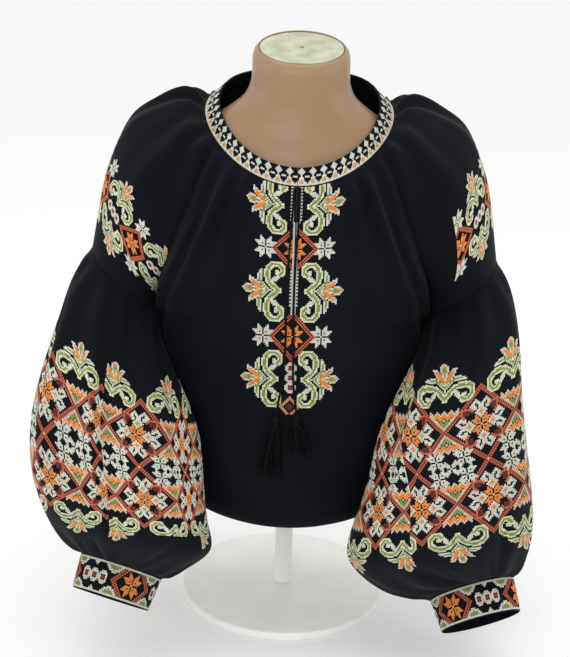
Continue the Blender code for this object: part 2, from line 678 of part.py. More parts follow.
def make_neck_band(material):
    """Band round the neckline, open at the slit, rising from the seam towards the neck."""
    edge = math.degrees(math.asin(SLIT_HALF_GAP / NECK_HALF_WIDTH))
    angle = np.linspace(edge, 360.0 - edge, BAND_COLUMNS)
    turn = np.radians(angle)
    seam = neck_point(angle)
    steep = np.radians(38.0 + 35.0 * np.cos(turn) ** 2)
    radial = np.stack([np.sin(turn), -np.cos(turn), np.zeros_like(turn)], axis=-1)
    upward = np.array([0.0, 0.0, 1.0])
    rise = -radial * np.cos(steep)[:, None] + upward * np.sin(steep)[:, None]
    normal = radial * np.sin(steep)[:, None] + upward * np.cos(steep)[:, None]
    stand = (BAND_WALL - CLOTH_WALL) * 0.5
    outer = [seam + normal * stand + rise * (SEAM_GAP + share * NECK_BAND_WIDTH) for share in (1.0, 0.5, 0.0)]
    normals = np.array([normal] * 3)
    add_wall("neck_band", np.array(outer), normals, BAND_WALL, material)


def front_surface_y(z):
    """Depth of the plain front at its middle for a height."""
    half, _ = body_grid(FRONT_UPPER_ROWS, -1, FRONT_COLUMNS, SLIT_HALF_GAP)
    middle = half[::-1, 0]
    return np.interp(z, middle[:, 2], middle[:, 1])


def cord_points(route):
    """Centre line of a tie cord, lying just in front of the cloth."""
    table = np.array(route)[::-1]
    z = np.linspace(table[0, 0], table[-1, 0], CORD_POINTS)
    x = smooth_through(table[:, 0], table[:, 1], z)
    y = front_surface_y(z) - CORD_DIAMETER / 2 - CORD_STANDOFF
    return np.stack([x, y, z], axis=-1)[::-1]


def make_cord(name, route, material):
    curve = bpy.data.curves.new(name, "CURVE")
    curve.dimensions = "3D"
    curve.bevel_depth = CORD_DIAMETER / 2 * MM
    curve.bevel_resolution = 2
    curve.use_fill_caps = True
    points = cord_points(route)
    spline = curve.splines.new("POLY")
    spline.points.add(len(points) - 1)
    for place, point in zip(spline.points, points):
        place.co = (*(point * MM), 1.0)
    curve.materials.append(material)
    shirt_collection.objects.link(bpy.data.objects.new(name, curve))


def disc_cell(i, j):
    """Corner of the head's underside: a square net of cells drawn out to a disc."""
    u = 2.0 * i / TASSEL_CELLS - 1.0
    v = 2.0 * j / TASSEL_CELLS - 1.0
    return u * math.sqrt(1 - v * v / 2), v * math.sqrt(1 - u * u / 2)


def make_tassel(name, route, length, spread, sway, material):
    """Turned head on the cord's end, with square strands drawn out of its underside."""
    end = cord_points(route)[-1]
    top = end[2] - SEAM_GAP
    bottom = top - TASSEL_HEAD_HEIGHT
    centre_y = front_surface_y(bottom) - TASSEL_HEAD_RADIUS - CORD_STANDOFF
    centre_y = min(centre_y, end[1])
    bm = bmesh.new()
    net = {}
    for i in range(TASSEL_CELLS + 1):
        for j in range(TASSEL_CELLS + 1):
            x, y = disc_cell(i, j)
            place = (end[0] + x * TASSEL_HEAD_RADIUS, centre_y + y * TASSEL_HEAD_RADIUS, bottom)
            net[i, j] = bm.verts.new([value * MM for value in place])
    last = TASSEL_CELLS
    border = [(i, 0) for i in range(last)] + [(last, j) for j in range(last)]
    border += [(i, last) for i in range(last, 0, -1)] + [(0, j) for j in range(last, 0, -1)]
    below = [net[place] for place in border]
    for drop, size in TASSEL_PROFILE[-2::-1]:
        ring = []
        for place in border:
            x, y = disc_cell(*place)
            radius = TASSEL_HEAD_RADIUS * size
            point = (end[0] + x * radius, centre_y + y * radius, top - drop * TASSEL_HEAD_HEIGHT)
            ring.append(bm.verts.new([value * MM for value in point]))
        for k in range(len(ring)):
            after = (k + 1) % len(ring)
            bm.faces.new([below[k], below[after], ring[after], ring[k]])
        below = ring
    bm.faces.new(below)
    for number in range(TASSEL_CELLS ** 2):
        i, j = divmod(number, TASSEL_CELLS)
        corners = [net[i, j], net[i, j + 1], net[i + 1, j + 1], net[i + 1, j]]
        flat = np.array([vert.co for vert in corners]) / MM
        middle = flat.mean(axis=0)
        offset_x, offset_y = middle[0] - end[0], middle[1] - centre_y
        tip = np.array([end[0] + offset_x * spread + sway,
                        centre_y + offset_y * (1 + (spread - 1) * TASSEL_FLAT) - TASSEL_LIFT, bottom])
        short = 1.0 - 0.06 * (number * 7 % 5)
        for share, drop in ((0.0, 0.0), (0.45, 0.45), (1.0, short)):
            ring_middle = middle + (tip - middle) * share ** 0.8 - np.array([0.0, 0.0, length * drop])
            ring = [bm.verts.new(tuple(point * MM)) for point in ring_middle + (flat - middle) * STRAND_SHARE]
            for k in range(4):
                after = (k + 1) % 4
                bm.faces.new([corners[k], corners[after], ring[after], ring[k]])
            corners = ring
        bm.faces.new(corners)
    add_mesh(name, bm, material, smooth=False)


# Dress form, cap, pole and foot

def form_ring(row):
    z, half_width, front_y, back_y, tilt, roundness = row
    turn = np.linspace(-np.pi, np.pi, FORM_COLUMNS, endpoint=False)
    reach = np.where(np.cos(turn) > 0, FORM_AXIS_Y - front_y, back_y - FORM_AXIS_Y)
    sine, cosine = np.sin(turn), np.cos(turn)
    x = half_width * np.sign(sine) * np.abs(sine) ** (2 / roundness)
    y = FORM_AXIS_Y - reach * np.sign(cosine) * np.abs(cosine) ** (2 / roundness)
    return np.stack([x, y, z + (y - FORM_AXIS_Y) * math.tan(math.radians(tilt))], axis=-1)


def make_form(material):
    """Neck, shoulders and torso as one loft through level rings, closed at both ends."""
    rings = [form_ring(row) for row in FORM_RINGS]
    bm = bmesh.new()
    layers = [[bm.verts.new(tuple(point * MM)) for point in ring] for ring in rings]
    for above, under in zip(layers, layers[1:]):
        for k in range(FORM_COLUMNS):
            after = (k + 1) % FORM_COLUMNS
            bm.faces.new([above[k], under[k], under[after], above[after]])
    bm.faces.new(layers[0])
    bm.faces.new(layers[-1][::-1])
    return add_mesh("dress_form", bm, material)


def make_turned(name, profile, material, segments):
    """Solid of revolution from a closed outline of radius and height, millimetres."""
    bm = bmesh.new()
    verts = [bm.verts.new((radius * MM, 0.0, height * MM)) for radius, height in profile]
    for first, second in zip(verts, verts[1:]):
        bm.edges.new((first, second))
    mesh = bpy.data.meshes.new(name)
    bm.to_mesh(mesh)
    bm.free()
    mesh.materials.append(material)
    item = bpy.data.objects.new(name, mesh)
    shirt_collection.objects.link(item)
    screw = item.modifiers.new("turn", "SCREW")
    screw.angle = 2 * math.pi
    screw.steps = segments
    screw.render_steps = segments
    screw.use_merge_vertices = True
    screw.merge_threshold = 0.00001
    return item


def make_cap(material):
    """Flat plate set in the top of the neck, tilted with it, with a small screw hole in its middle."""
    z, _, front_y, back_y, tilt, _ = FORM_RINGS[0]
    rounding = [(CAP_RADIUS - CAP_ROUNDING * (1 - math.cos(a)), CAP_THICKNESS - CAP_ROUNDING * (1 - math.sin(a)))
                for a in np.radians((90, 45, 0))]
    profile = [(0.0, CAP_THICKNESS - CAP_HOLE_DEPTH), (CAP_HOLE_RADIUS, CAP_THICKNESS - CAP_HOLE_DEPTH),
               (CAP_HOLE_RADIUS, CAP_THICKNESS)] + rounding + [(CAP_RADIUS, 0.0), (0.0, 0.0)]
    cap = make_turned("neck_cap", profile, material, CAP_SEGMENTS)
    middle_y = (front_y + back_y) / 2
    slope = math.tan(math.radians(tilt))
    height = z + (middle_y - FORM_AXIS_Y) * slope + SEAM_GAP / math.cos(math.radians(tilt))
    cap.location = (0.0, middle_y * MM, height * MM)
    cap.rotation_euler = (math.radians(tilt), 0.0, 0.0)


def make_foot_and_pole(material):
    foot_profile = [(0.0, FOOT_THICKNESS), (FOOT_RADIUS - FOOT_BEVEL, FOOT_THICKNESS),
                    (FOOT_RADIUS - FOOT_BEVEL * 0.3, FOOT_THICKNESS - FOOT_BEVEL * 0.3),
                    (FOOT_RADIUS, FOOT_THICKNESS - FOOT_BEVEL), (FOOT_RADIUS, 0.0), (0.0, 0.0)]
    make_turned("stand_foot", foot_profile, material, FOOT_SEGMENTS)
    low = FOOT_THICKNESS + SEAM_GAP
    high = FORM_RINGS[-1][0] - SEAM_GAP
    pole_profile = [(0.0, high), (POLE_RADIUS, high), (POLE_RADIUS, low), (0.0, low)]
    make_turned("stand_pole", pole_profile, material, POLE_SEGMENTS)


clear_scene()
shirt_collection = bpy.data.collections.new("vyshyvanka_shirt")
bpy.context.scene.collection.children.link(shirt_collection)

black_cloth = make_material("black_cloth", (0.012, 0.014, 0.016), 0.72)
black_embroidered = make_material("black_embroidered_cloth", (0.014, 0.015, 0.017), 0.74)
black_cord = make_material("black_cord", (0.010, 0.010, 0.011), 0.60)
black_thread = make_material("black_thread", (0.010, 0.010, 0.011), 0.55)
skin_plastic = make_material("form_plastic", (0.62, 0.44, 0.34), 0.42)
cap_plate = make_material("cap_plate", (0.78, 0.70, 0.55), 0.50)
white_paint = make_material("white_paint", (0.86, 0.86, 0.84), 0.40)

make_shirt(black_cloth, black_embroidered)
make_neck_band(black_embroidered)
ROUTES = {"right": RIGHT_CORD_ROUTE, "left": LEFT_CORD_ROUTE}
make_cord("tie_cord_right", RIGHT_CORD_ROUTE, black_cord)
make_cord("tie_cord_left", LEFT_CORD_ROUTE, black_cord)
for tassel_name, cord_name, strand_length, strand_spread, strand_sway in TASSELS:
    make_tassel(tassel_name, ROUTES[cord_name], strand_length, strand_spread, strand_sway, black_thread)
make_form(skin_plastic)
make_cap(cap_plate)
make_foot_and_pole(white_paint)
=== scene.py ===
"""Looks of the embroidered peasant shirt on its dress form: cloth shells, cross-stitch, cords, tassels.

The surfaces are worked out by the same tables and functions as the solids', with finer grids, so
each shell lies on its solid's form. Embroidery is charted by rule on a stitch grid and laid on the
cloth by its length along the cloth. Tables hold millimetres.
"""
import math

import bpy
import numpy as np
from mathutils import Matrix, Vector


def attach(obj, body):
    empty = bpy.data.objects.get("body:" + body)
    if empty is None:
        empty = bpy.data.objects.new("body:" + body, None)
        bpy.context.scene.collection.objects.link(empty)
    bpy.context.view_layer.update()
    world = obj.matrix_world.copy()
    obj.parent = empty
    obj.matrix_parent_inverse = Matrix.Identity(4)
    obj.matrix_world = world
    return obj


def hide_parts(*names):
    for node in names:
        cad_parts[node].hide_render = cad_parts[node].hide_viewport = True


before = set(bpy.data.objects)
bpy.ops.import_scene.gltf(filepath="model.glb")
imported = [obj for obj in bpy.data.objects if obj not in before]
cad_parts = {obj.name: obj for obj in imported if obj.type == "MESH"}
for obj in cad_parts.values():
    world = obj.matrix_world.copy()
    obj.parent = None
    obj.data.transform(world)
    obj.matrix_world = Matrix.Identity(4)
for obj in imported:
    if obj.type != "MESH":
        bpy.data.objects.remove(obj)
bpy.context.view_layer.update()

MM = 0.001
MIRROR = np.array([-1.0, 1.0, 1.0])

# Cloth
CLOTH_WALL = 1.8          # shirt cloth with its seam allowance
BAND_WALL = 2.4           # doubled cloth of the neck band and the cuffs
SEAM_GAP = 0.3            # clear space between pieces at a seam
UNDERARM_GAP = 1.6        # wider space where four pieces meet under the arm

# Neckline: the line where the gathered cloth meets the neck band
NECK_HALF_WIDTH = 107.0
NECK_HALF_DEPTH = 88.0
NECK_CENTRE_Y = -12.0
NECK_BACK_Z = 633.0
NECK_FRONT_DROP = 88.0
NECK_DROP_POWER = 2.2
NECK_BAND_WIDTH = 20.0
RAGLAN_ANGLE = 58.0       # neckline angle from the centre front, and from the centre back, to a raglan seam
SLIT_HALF_GAP = 1.5
SLIT_END_Z = 418.0

# Armhole: the dropped seam between the upper and the lower sleeve is this tilted ring
DROPPED_CENTRE = (196.0, -15.0, 418.5)
DROPPED_HALF_WIDTH = 51.0
DROPPED_HALF_DEPTH = 64.0
DROPPED_LEAN = 38.0

# Upper sleeve: from the neckline over the shoulder to the dropped seam. The apex is the outermost
# point of a section, the middle lies between its two raglan ends, and open_angle is how far the
# arch goes round on each side of the apex.
UPPER_SECTIONS = (
    # apex_x, apex_y, apex_z, middle_x, middle_y, middle_z, half_depth, back_rise, open_angle
    (131.0, 6.0, 620.0, 105.0, -7.0, 580.0, 70.0, 20.0, 75.0),
    (160.0, 4.0, 614.0, 119.0, -6.0, 545.0, 80.0, 24.0, 85.0),
    (192.0, 0.0, 597.0, 133.0, -6.0, 507.0, 84.0, 22.0, 98.0),
    (214.0, -6.0, 556.0, 144.0, -8.0, 462.0, 78.0, 14.0, 114.0),
    (226.0, -11.0, 508.0, 152.0, -12.0, 420.0, 70.0, 6.0, 138.0),
)

# Front and back above the underarm: the middle of each section. Its ends are the raglan seam.
FRONT_UPPER_ROWS = (
    # middle_y, middle_z, open_angle
    (-107.0, 519.0, 64.0),
    (-115.0, 488.0, 70.0),
    (-124.0, 456.0, 76.0),
    (-130.0, 427.0, 81.0),
    (-132.0, 404.0, 86.0),
    (-132.0, 386.0, 90.0),
)
BACK_UPPER_ROWS = (
    # middle_y, middle_z, open_angle
    (84.0, 604.0, 64.0),
    (92.0, 570.0, 70.0),
    (97.0, 528.0, 76.0),
    (99.0, 480.0, 81.0),
    (98.0, 430.0, 86.0),
    (96.0, 394.0, 90.0),
)

# Body below the underarm, shared by front and back. The last rows roll under to the hem.
BODY_ROWS = (
    # z, half_width, front_y, back_y
    (350.0, 157.0, -130.0, 94.0),
    (305.0, 152.0, -127.0, 92.0),
    (255.0, 148.0, -126.0, 92.0),
    (200.0, 146.0, -126.0, 94.0),
    (165.0, 144.0, -124.0, 93.0),
    (145.0, 137.0, -117.0, 87.0),
    (137.0, 126.0, -106.0, 77.0),
)
SIDE_SEAM_Y = -15.0
HEM_SIDE_RISE = 13.0      # the hem hangs this much higher at the side seams than at the centre

# Lower sleeves. lean lifts the outer side of a section, nod lifts its front.
RIGHT_LOWER_SECTIONS = (
    # out, y, z, half_width, half_depth, lean, nod
    (205.0, -40.0, 388.0, 57.0, 66.0, 30.0, 4.0),
    (203.0, -76.0, 350.0, 69.0, 70.0, 24.0, 6.0),
    (197.0, -106.0, 300.0, 88.0, 75.0, 20.0, 8.0),
    (195.0, -127.0, 245.0, 100.0, 77.0, 18.0, 10.0),
    (189.0, -139.0, 190.0, 104.0, 79.0, 17.0, 14.0),
    (181.0, -141.0, 147.0, 98.0, 75.0, 14.0, 20.0),
    (188.0, -137.0, 114.0, 72.0, 60.0, 15.0, 28.0),
    (190.0, -130.0, 92.0, 49.0, 41.0, 18.0, 34.0),
)
LEFT_LOWER_SECTIONS = (
    # out, y, z, half_width, half_depth, lean, nod
    (202.0, -40.0, 390.0, 56.0, 66.0, 31.0, 4.0),
    (198.0, -76.0, 352.0, 65.0, 70.0, 24.0, 6.0),
    (188.0, -106.0, 300.0, 77.0, 75.0, 19.0, 8.0),
    (183.0, -127.0, 243.0, 89.0, 77.0, 17.0, 10.0),
    (178.0, -139.0, 190.0, 102.0, 79.0, 14.0, 14.0),
    (179.0, -141.0, 140.0, 106.0, 77.0, 12.0, 20.0),
    (197.0, -137.0, 99.0, 82.0, 62.0, 14.0, 28.0),
    (222.0, -132.0, 79.0, 50.0, 33.0, 19.0, 44.0),
)
CUFF_HEIGHT = 39.0
CUFF_TAPER = 0.93
SLEEVE_BODY_CLEARANCE = 8.0

# Gathers, worked out round the neckline, the dropped seam and the cuff
NECK_GATHER_STEP = 11.0   # degrees of the neckline from one gather to the next
NECK_GATHER_START = 24.0  # the embroidered middle of the front lies flat
NECK_GATHER_HEIGHT = 6.5
NECK_GATHER_REACH = 120.0
SEAM_GATHERS = 12
SEAM_GATHER_HEIGHT = 3.4
CUFF_GATHERS = 11
CUFF_GATHER_HEIGHT = 3.6

# Soft folds in the front below the gathers
FRONT_FOLDS = (
    # across (0 middle, 1 seam), start_z, end_z, width, height
    (0.44, 520.0, 330.0, 0.075, 4.0),
    (0.62, 545.0, 300.0, 0.070, 6.5),
    (0.80, 520.0, 330.0, 0.065, 7.0),
)
BACK_FOLDS = (
    # across (0 middle, 1 seam), start_z, end_z, width, height
    (0.12, 560.0, 260.0, 0.080, 5.0),
    (0.34, 590.0, 300.0, 0.075, 6.0),
    (0.56, 570.0, 220.0, 0.075, 6.0),
    (0.80, 520.0, 200.0, 0.065, 6.0),
)
UPPER_FOLDS = (
    # across (-1 front seam, 1 back seam), start (0 neck, 1 dropped seam), end, width, height
    (-0.62, 0.06, 0.66, 0.10, 5.5),
    (-0.30, 0.04, 0.52, 0.11, 5.0),
    (0.12, 0.05, 0.46, 0.12, 4.0),
    (0.50, 0.06, 0.62, 0.11, 5.0),
)
SLEEVE_FOLDS = (
    # angle (0 outer, -90 front), start (0 seam, 1 cuff), end, width in degrees, height
    (-128.0, 0.02, 0.62, 13.0, 6.0),
    (-78.0, 0.00, 0.55, 12.0, 5.0),
    (-35.0, 0.05, 0.70, 14.0, 5.0),
    (28.0, 0.00, 0.60, 14.0, 5.5),
    (85.0, 0.02, 0.66, 13.0, 5.0),
    (130.0, 0.05, 0.60, 13.0, 4.5),
)


# Grid sizes of the shells
UPPER_GRID_ROWS = 44
BODY_GRID_ROWS = 56
FRONT_COLUMNS = 96
BACK_COLUMNS = 80
UPPER_COLUMNS = 121
LOWER_COLUMNS = 240
LOWER_GRID_ROWS = 90
BAND_COLUMNS = 200
CUFF_COLUMNS = 120
SHELL_WALL = 1.1
SHELL_SLIT_HALF_GAP = 0.35   # the slit hangs closed, so the cloth under it never shows the form
BAND_SHELL_WALL = 2.0

# Tie cords and tassels
CORD_DIAMETER = 2.4
CORD_STANDOFF = 0.7       # clear space between a cord and the cloth behind it
CORD_POINTS = 34
RIGHT_CORD_ROUTE = (
    # z, x
    (544.0, -3.2), (515.0, -4.2), (470.0, -6.5), (420.0, -7.5), (370.0, -7.0), (330.0, -9.0), (289.0, -15.0),
)
LEFT_CORD_ROUTE = (
    # z, x
    (544.0, 3.2), (515.0, 3.0), (470.0, 1.2), (420.0, 0.6), (370.0, 2.2), (330.0, 3.2), (293.0, 8.0),
)
TASSEL_HEAD_RADIUS = 4.6
TASSEL_HEAD_HEIGHT = 13.0
TASSEL_PROFILE = (
    # share of the head's height from its top, share of its radius
    (0.00, 0.42), (0.18, 0.86), (0.45, 0.92), (0.62, 0.66), (0.80, 0.72), (1.00, 1.00),
)
TASSELS = (
    # name, cord_route, length, spread, sway
    ("tassel_right", "right", 62.0, 3.4, -6.0),
    ("tassel_left", "left", 40.0, 3.0, 8.0),
)
TASSEL_FLAT = 0.45        # a tassel's depth as a share of its spread
TASSEL_LIFT = 4.0         # how far the strands' tips stand off the line of the head



# Dress form
FORM_RINGS = (
    # z, half_width, front_y, back_y, tilt (front lower), roundness (2 oval, less is more pointed)
    (681.0, 48.3, -61.0, 37.0, 16.0, 2.0),
    (684.0, 48.3, -61.0, 37.0, 16.0, 2.0),
    (684.0, 50.0, -63.0, 39.0, 16.0, 2.0),
    (680.5, 53.2, -66.0, 42.0, 15.5, 2.0),
    (674.0, 54.8, -67.5, 44.0, 14.0, 2.0),
    (661.0, 55.0, -67.0, 45.0, 11.0, 2.0),
    (645.0, 56.5, -65.0, 49.0, 8.0, 2.0),
    (630.0, 64.0, -64.0, 59.0, 4.0, 2.0),
    (618.0, 79.0, -65.0, 66.0, 2.0, 1.9),
    (606.0, 99.0, -67.0, 70.0, 1.0, 1.7),
    (592.0, 129.0, -71.0, 73.0, 0.0, 1.6),
    (576.0, 158.0, -79.0, 76.0, 0.0, 1.6),
    (552.0, 175.0, -87.0, 78.0, 0.0, 1.7),
    (520.0, 177.0, -96.0, 82.0, 0.0, 1.85),
    (470.0, 166.0, -107.0, 85.0, 0.0, 2.0),
    (425.0, 148.0, -115.0, 85.0, 0.0, 2.0),
    (385.0, 137.0, -115.0, 82.0, 0.0, 2.0),
    (330.0, 124.0, -104.0, 74.0, 0.0, 2.0),
    (275.0, 116.0, -96.0, 70.0, 0.0, 2.0),
    (220.0, 124.0, -101.0, 76.0, 0.0, 2.0),
    (166.0, 124.0, -102.0, 76.0, 0.0, 2.0),
)
FORM_AXIS_Y = -14.0


def smooth_through(knots, values, where):
    """Smooth curve through values at uneven knots, read at the places in where."""
    knots = np.asarray(knots, float)
    values = np.asarray(values, float)
    where = np.clip(np.asarray(where, float), knots[0], knots[-1])
    steps = np.diff(knots)
    slopes = np.diff(values, axis=0) / steps.reshape((-1,) + (1,) * (values.ndim - 1))
    tangents = np.empty_like(values)
    tangents[0], tangents[-1] = slopes[0], slopes[-1]
    for i in range(1, len(knots) - 1):
        tangents[i] = (slopes[i - 1] * steps[i] + slopes[i] * steps[i - 1]) / (steps[i - 1] + steps[i])
    piece = np.clip(np.searchsorted(knots, where, side="right") - 1, 0, len(steps) - 1)
    span = steps[piece]
    t = (where - knots[piece]) / span
    shape = (-1,) + (1,) * (values.ndim - 1)
    t, span = t.reshape(shape), span.reshape(shape)
    return ((2 * t**3 - 3 * t**2 + 1) * values[piece] + (t**3 - 2 * t**2 + t) * span * tangents[piece]
            + (3 * t**2 - 2 * t**3) * values[piece + 1] + (t**3 - t**2) * span * tangents[piece + 1])


def bump(distance, width):
    """Soft ridge that is 1 on its crest and fades over its width."""
    return np.exp(-(distance / width) ** 2)


def fade(value, start, end):
    """0 at start, 1 at end, smooth between them."""
    t = np.clip((value - start) / (end - start), 0.0, 1.0)
    return t * t * (3 - 2 * t)


# Neckline and its gathers

def neck_point(angle):
    """Point of the neckline. Angle in degrees: 0 centre front, 90 the left shoulder, 180 centre back."""
    turn = np.radians(angle)
    x = NECK_HALF_WIDTH * np.sin(turn)
    y = NECK_CENTRE_Y - NECK_HALF_DEPTH * np.cos(turn)
    z = NECK_BACK_Z - NECK_FRONT_DROP * ((1 + np.cos(turn)) / 2) ** NECK_DROP_POWER
    return np.stack([x, y, z], axis=-1)


def neck_gathers(angle, distance):
    """Height of the gathers below the neckline at an angle and a distance down the cloth."""
    angle = np.abs(np.asarray(angle, float))
    wave = 0.5 + 0.5 * np.cos(2 * np.pi * (angle - NECK_GATHER_START) / NECK_GATHER_STEP + np.pi)
    uneven = 0.72 + 0.28 * np.sin(angle * 0.21 + 0.8)
    gate = fade(angle, NECK_GATHER_START - 2, NECK_GATHER_START + 6)
    reach = NECK_GATHER_REACH * (0.7 + 0.3 * np.sin(angle * 0.37))
    start = 0.12 + 0.88 * fade(distance, 0.0, 22.0)
    return NECK_GATHER_HEIGHT * wave * uneven * gate * start * np.exp(-(distance / reach) ** 2)


# Panels as grids of outer points, millimetres, for the side at +X

def dropped_ring():
    """Centre, outward half axis and backward half axis of the dropped seam."""
    lean = math.radians(DROPPED_LEAN)
    outward = DROPPED_HALF_WIDTH * np.array([math.cos(lean), 0.0, math.sin(lean)])
    return np.array(DROPPED_CENTRE), outward, np.array([0.0, DROPPED_HALF_DEPTH, 0.0])


def upper_section(row, share):
    """One arch of the upper sleeve. share runs from -1, the front raglan seam, to 1, the back one."""
    apex_x, apex_y, apex_z, mid_x, mid_y, mid_z, half_depth, back_rise, open_angle = row
    opening = math.radians(open_angle)
    apex = np.array([apex_x, apex_y, apex_z])
    middle = np.array([mid_x, mid_y, mid_z])
    outward = (apex - middle) / (1 - math.cos(opening))
    backward = np.array([0.0, half_depth, back_rise])
    turn = (share * opening)[:, None]
    return apex - outward + outward * np.cos(turn) + backward * np.sin(turn)


def upper_sections(share):
    """All arches of the upper sleeve, from the neckline to the dropped seam."""
    centre, outward, backward = dropped_ring()
    neck = neck_point(90 + share * (90 - RAGLAN_ANGLE))
    turn = (share * math.pi)[:, None]
    last = centre + outward * np.cos(turn) + backward * np.sin(turn)
    return np.array([neck] + [upper_section(row, share) for row in UPPER_SECTIONS] + [last])


def upper_rows():
    """Places of the grid rows between the neckline, 0, and the dropped seam."""
    return np.linspace(0, len(UPPER_SECTIONS) + 1, UPPER_GRID_ROWS + 1)


def upper_sleeve_grid():
    share = np.linspace(-1, 1, UPPER_COLUMNS)
    sections = upper_sections(share)
    grid = smooth_through(np.arange(len(sections)), sections, upper_rows())
    angle = 90 + share * (90 - RAGLAN_ANGLE)
    return grid, np.broadcast_to(angle, grid.shape[:2])


def panel_columns(count, open_angle, width, start):
    """Angles across half a panel: sparse over its flat middle, closer over its gathers."""
    first = start / width
    return np.radians(open_angle) * (first + (1 - first) * np.linspace(0, 1, count) ** 0.8)


def body_grid(upper_table, face, count, start):
    """Half a panel, from its middle to its seams, as a grid of outer points.

    face is -1 for the front and 1 for the back. start is the first column's distance from the middle.
    """
    edge = upper_sections(np.array([float(face)]))[:, 0]
    spread = UNDERARM_GAP * np.array([-1.0, 0.0, -0.5])
    edge[-1] += spread
    edge[-2] += spread * 0.3
    sections = []
    neck_turn = RAGLAN_ANGLE * (start / 90.0 + (1 - start / 90.0) * np.linspace(0, 1, count) ** 0.8)
    sections.append(neck_point(neck_turn if face < 0 else 180 - neck_turn))
    for number, (mid_y, mid_z, open_angle) in enumerate(upper_table, start=1):
        end = edge[number]
        turn = panel_columns(count, open_angle, end[0], start)
        opening = math.radians(open_angle)
        share = ((np.cos(turn) - math.cos(opening)) / (1 - math.cos(opening)))[:, None]
        middle = np.array([0.0, mid_y, mid_z])
        row = end + (middle - end) * share
        row[:, 0] = end[0] * np.sin(turn) / math.sin(opening)
        sections.append(row)
    for z, half_width, front_y, back_y in BODY_ROWS:
        turn = panel_columns(count, 90.0, half_width, start)
        reach = (SIDE_SEAM_Y - front_y) if face < 0 else (back_y - SIDE_SEAM_Y)
        rise = HEM_SIDE_RISE * fade(220.0 - z, 0.0, 76.0) * np.sin(turn) ** 2
        depth = SIDE_SEAM_Y + face * reach * np.cos(turn)
        row = np.stack([half_width * np.sin(turn), depth, z + rise], axis=-1)
        sections.append(row)
    last = len(upper_table)
    rows = np.concatenate([upper_rows(), np.linspace(last, len(sections) - 1, BODY_GRID_ROWS + 1)[1:]])
    sections = np.array(sections)
    grid = smooth_through(np.arange(len(sections)), sections, rows)
    grid[:UPPER_GRID_ROWS + 1, -1] = smooth_through(np.arange(last + 1), edge, upper_rows())
    side = smooth_through(np.arange(last, len(sections)), sections[last:], rows[UPPER_GRID_ROWS + 1:])
    near_side = fade(np.linspace(0, 1, count), 0.55, 0.95)[None, :, None]
    grid[UPPER_GRID_ROWS + 1:] = grid[UPPER_GRID_ROWS + 1:] * (1 - near_side) + side * near_side
    return grid, np.broadcast_to(neck_turn if face < 0 else 180 - neck_turn, grid.shape[:2])


def body_half_sizes(z):
    """Half width and front reach of the body at a height, for keeping the sleeves off it."""
    table = np.array(BODY_ROWS)[::-1]
    centre, outward, _ = dropped_ring()
    top = (centre - outward)[2], (centre - outward)[0], FRONT_UPPER_ROWS[-1][0]
    heights = np.append(table[:, 0], top[0])
    return (np.interp(z, heights, np.append(table[:, 1], top[1])),
            np.interp(z, heights, SIDE_SEAM_Y - np.append(table[:, 2], top[2])))


def keep_off_body(points):
    """Push sleeve points that would touch the body out to its surface, so the sleeve lies against it."""
    half_width, reach = body_half_sizes(points[..., 2])
    centre, outward, _ = dropped_ring()
    below = (centre - outward)[2] - points[..., 2]
    room = SLEEVE_BODY_CLEARANCE * fade(below, -10.0, 40.0) + CLOTH_WALL * 0.2
    y = points[..., 1] - SIDE_SEAM_Y
    inside = np.sqrt((points[..., 0] / (half_width + room)) ** 2 + (y / (reach + room)) ** 2)
    soft = np.where(below > -10.0, np.maximum(inside, 1e-6), 1.0)
    target = 1.0 + 0.04 * np.log1p(np.exp((soft - 1.0) / 0.04))
    push = np.where(below > -10.0, np.maximum(target / soft, 1.0), 1.0)
    push = 1.0 + (push - 1.0) * fade(below, 0.0, 22.0)
    moved = points.copy()
    moved[..., 0] = points[..., 0] * push
    moved[..., 1] = SIDE_SEAM_Y + y * push
    return moved


def lower_sections(table, columns):
    """Rings of a lower sleeve from the dropped seam to the cuff, columns from the underarm round."""
    turn = np.linspace(-np.pi, np.pi, columns, endpoint=False)[:, None]
    centre, outward, backward = dropped_ring()
    rings = [centre + outward * np.cos(turn) + backward * np.sin(turn)]
    for out, y, z, half_width, half_depth, lean, nod in table:
        lean, nod = math.radians(lean), math.radians(nod)
        side = half_width * np.array([math.cos(lean), 0.0, math.sin(lean)])
        back = half_depth * np.array([0.0, math.cos(nod), -math.sin(nod)])
        rings.append(np.array([out, y, z]) + side * np.cos(turn) + back * np.sin(turn))
    return np.array(rings), np.degrees(turn[:, 0])


def lower_sleeve_grid(table):
    rings, angle = lower_sections(table, LOWER_COLUMNS)
    places = np.linspace(0, len(rings) - 1, LOWER_GRID_ROWS + 1)
    grid = keep_off_body(smooth_through(np.arange(len(rings)), rings, places))
    along = np.broadcast_to((places / places[-1])[:, None], grid.shape[:2])
    return grid, np.broadcast_to(angle, grid.shape[:2]), along


# Folds, as heights above the plain surface

def distance_down(grid):
    """Distance of each grid point from its column's first point, along the cloth."""
    steps = np.linalg.norm(np.diff(grid, axis=0), axis=-1)
    return np.concatenate([np.zeros((1, grid.shape[1])), np.cumsum(steps, axis=0)])


def panel_folds(grid, table):
    """Soft folds of the front or the back below its gathers."""
    height = np.zeros(grid.shape[:2])
    across = np.linspace(0, 1, grid.shape[1])
    z = grid[..., 2]
    for place, start_z, end_z, width, size in table:
        length = fade(z, end_z, end_z + 0.45 * (start_z - end_z)) * fade(-z, -start_z - 20, -start_z + 40)
        height += size * bump(across - place, width) * length
    return height * fade(1.0 - across, 0.0, 0.06)


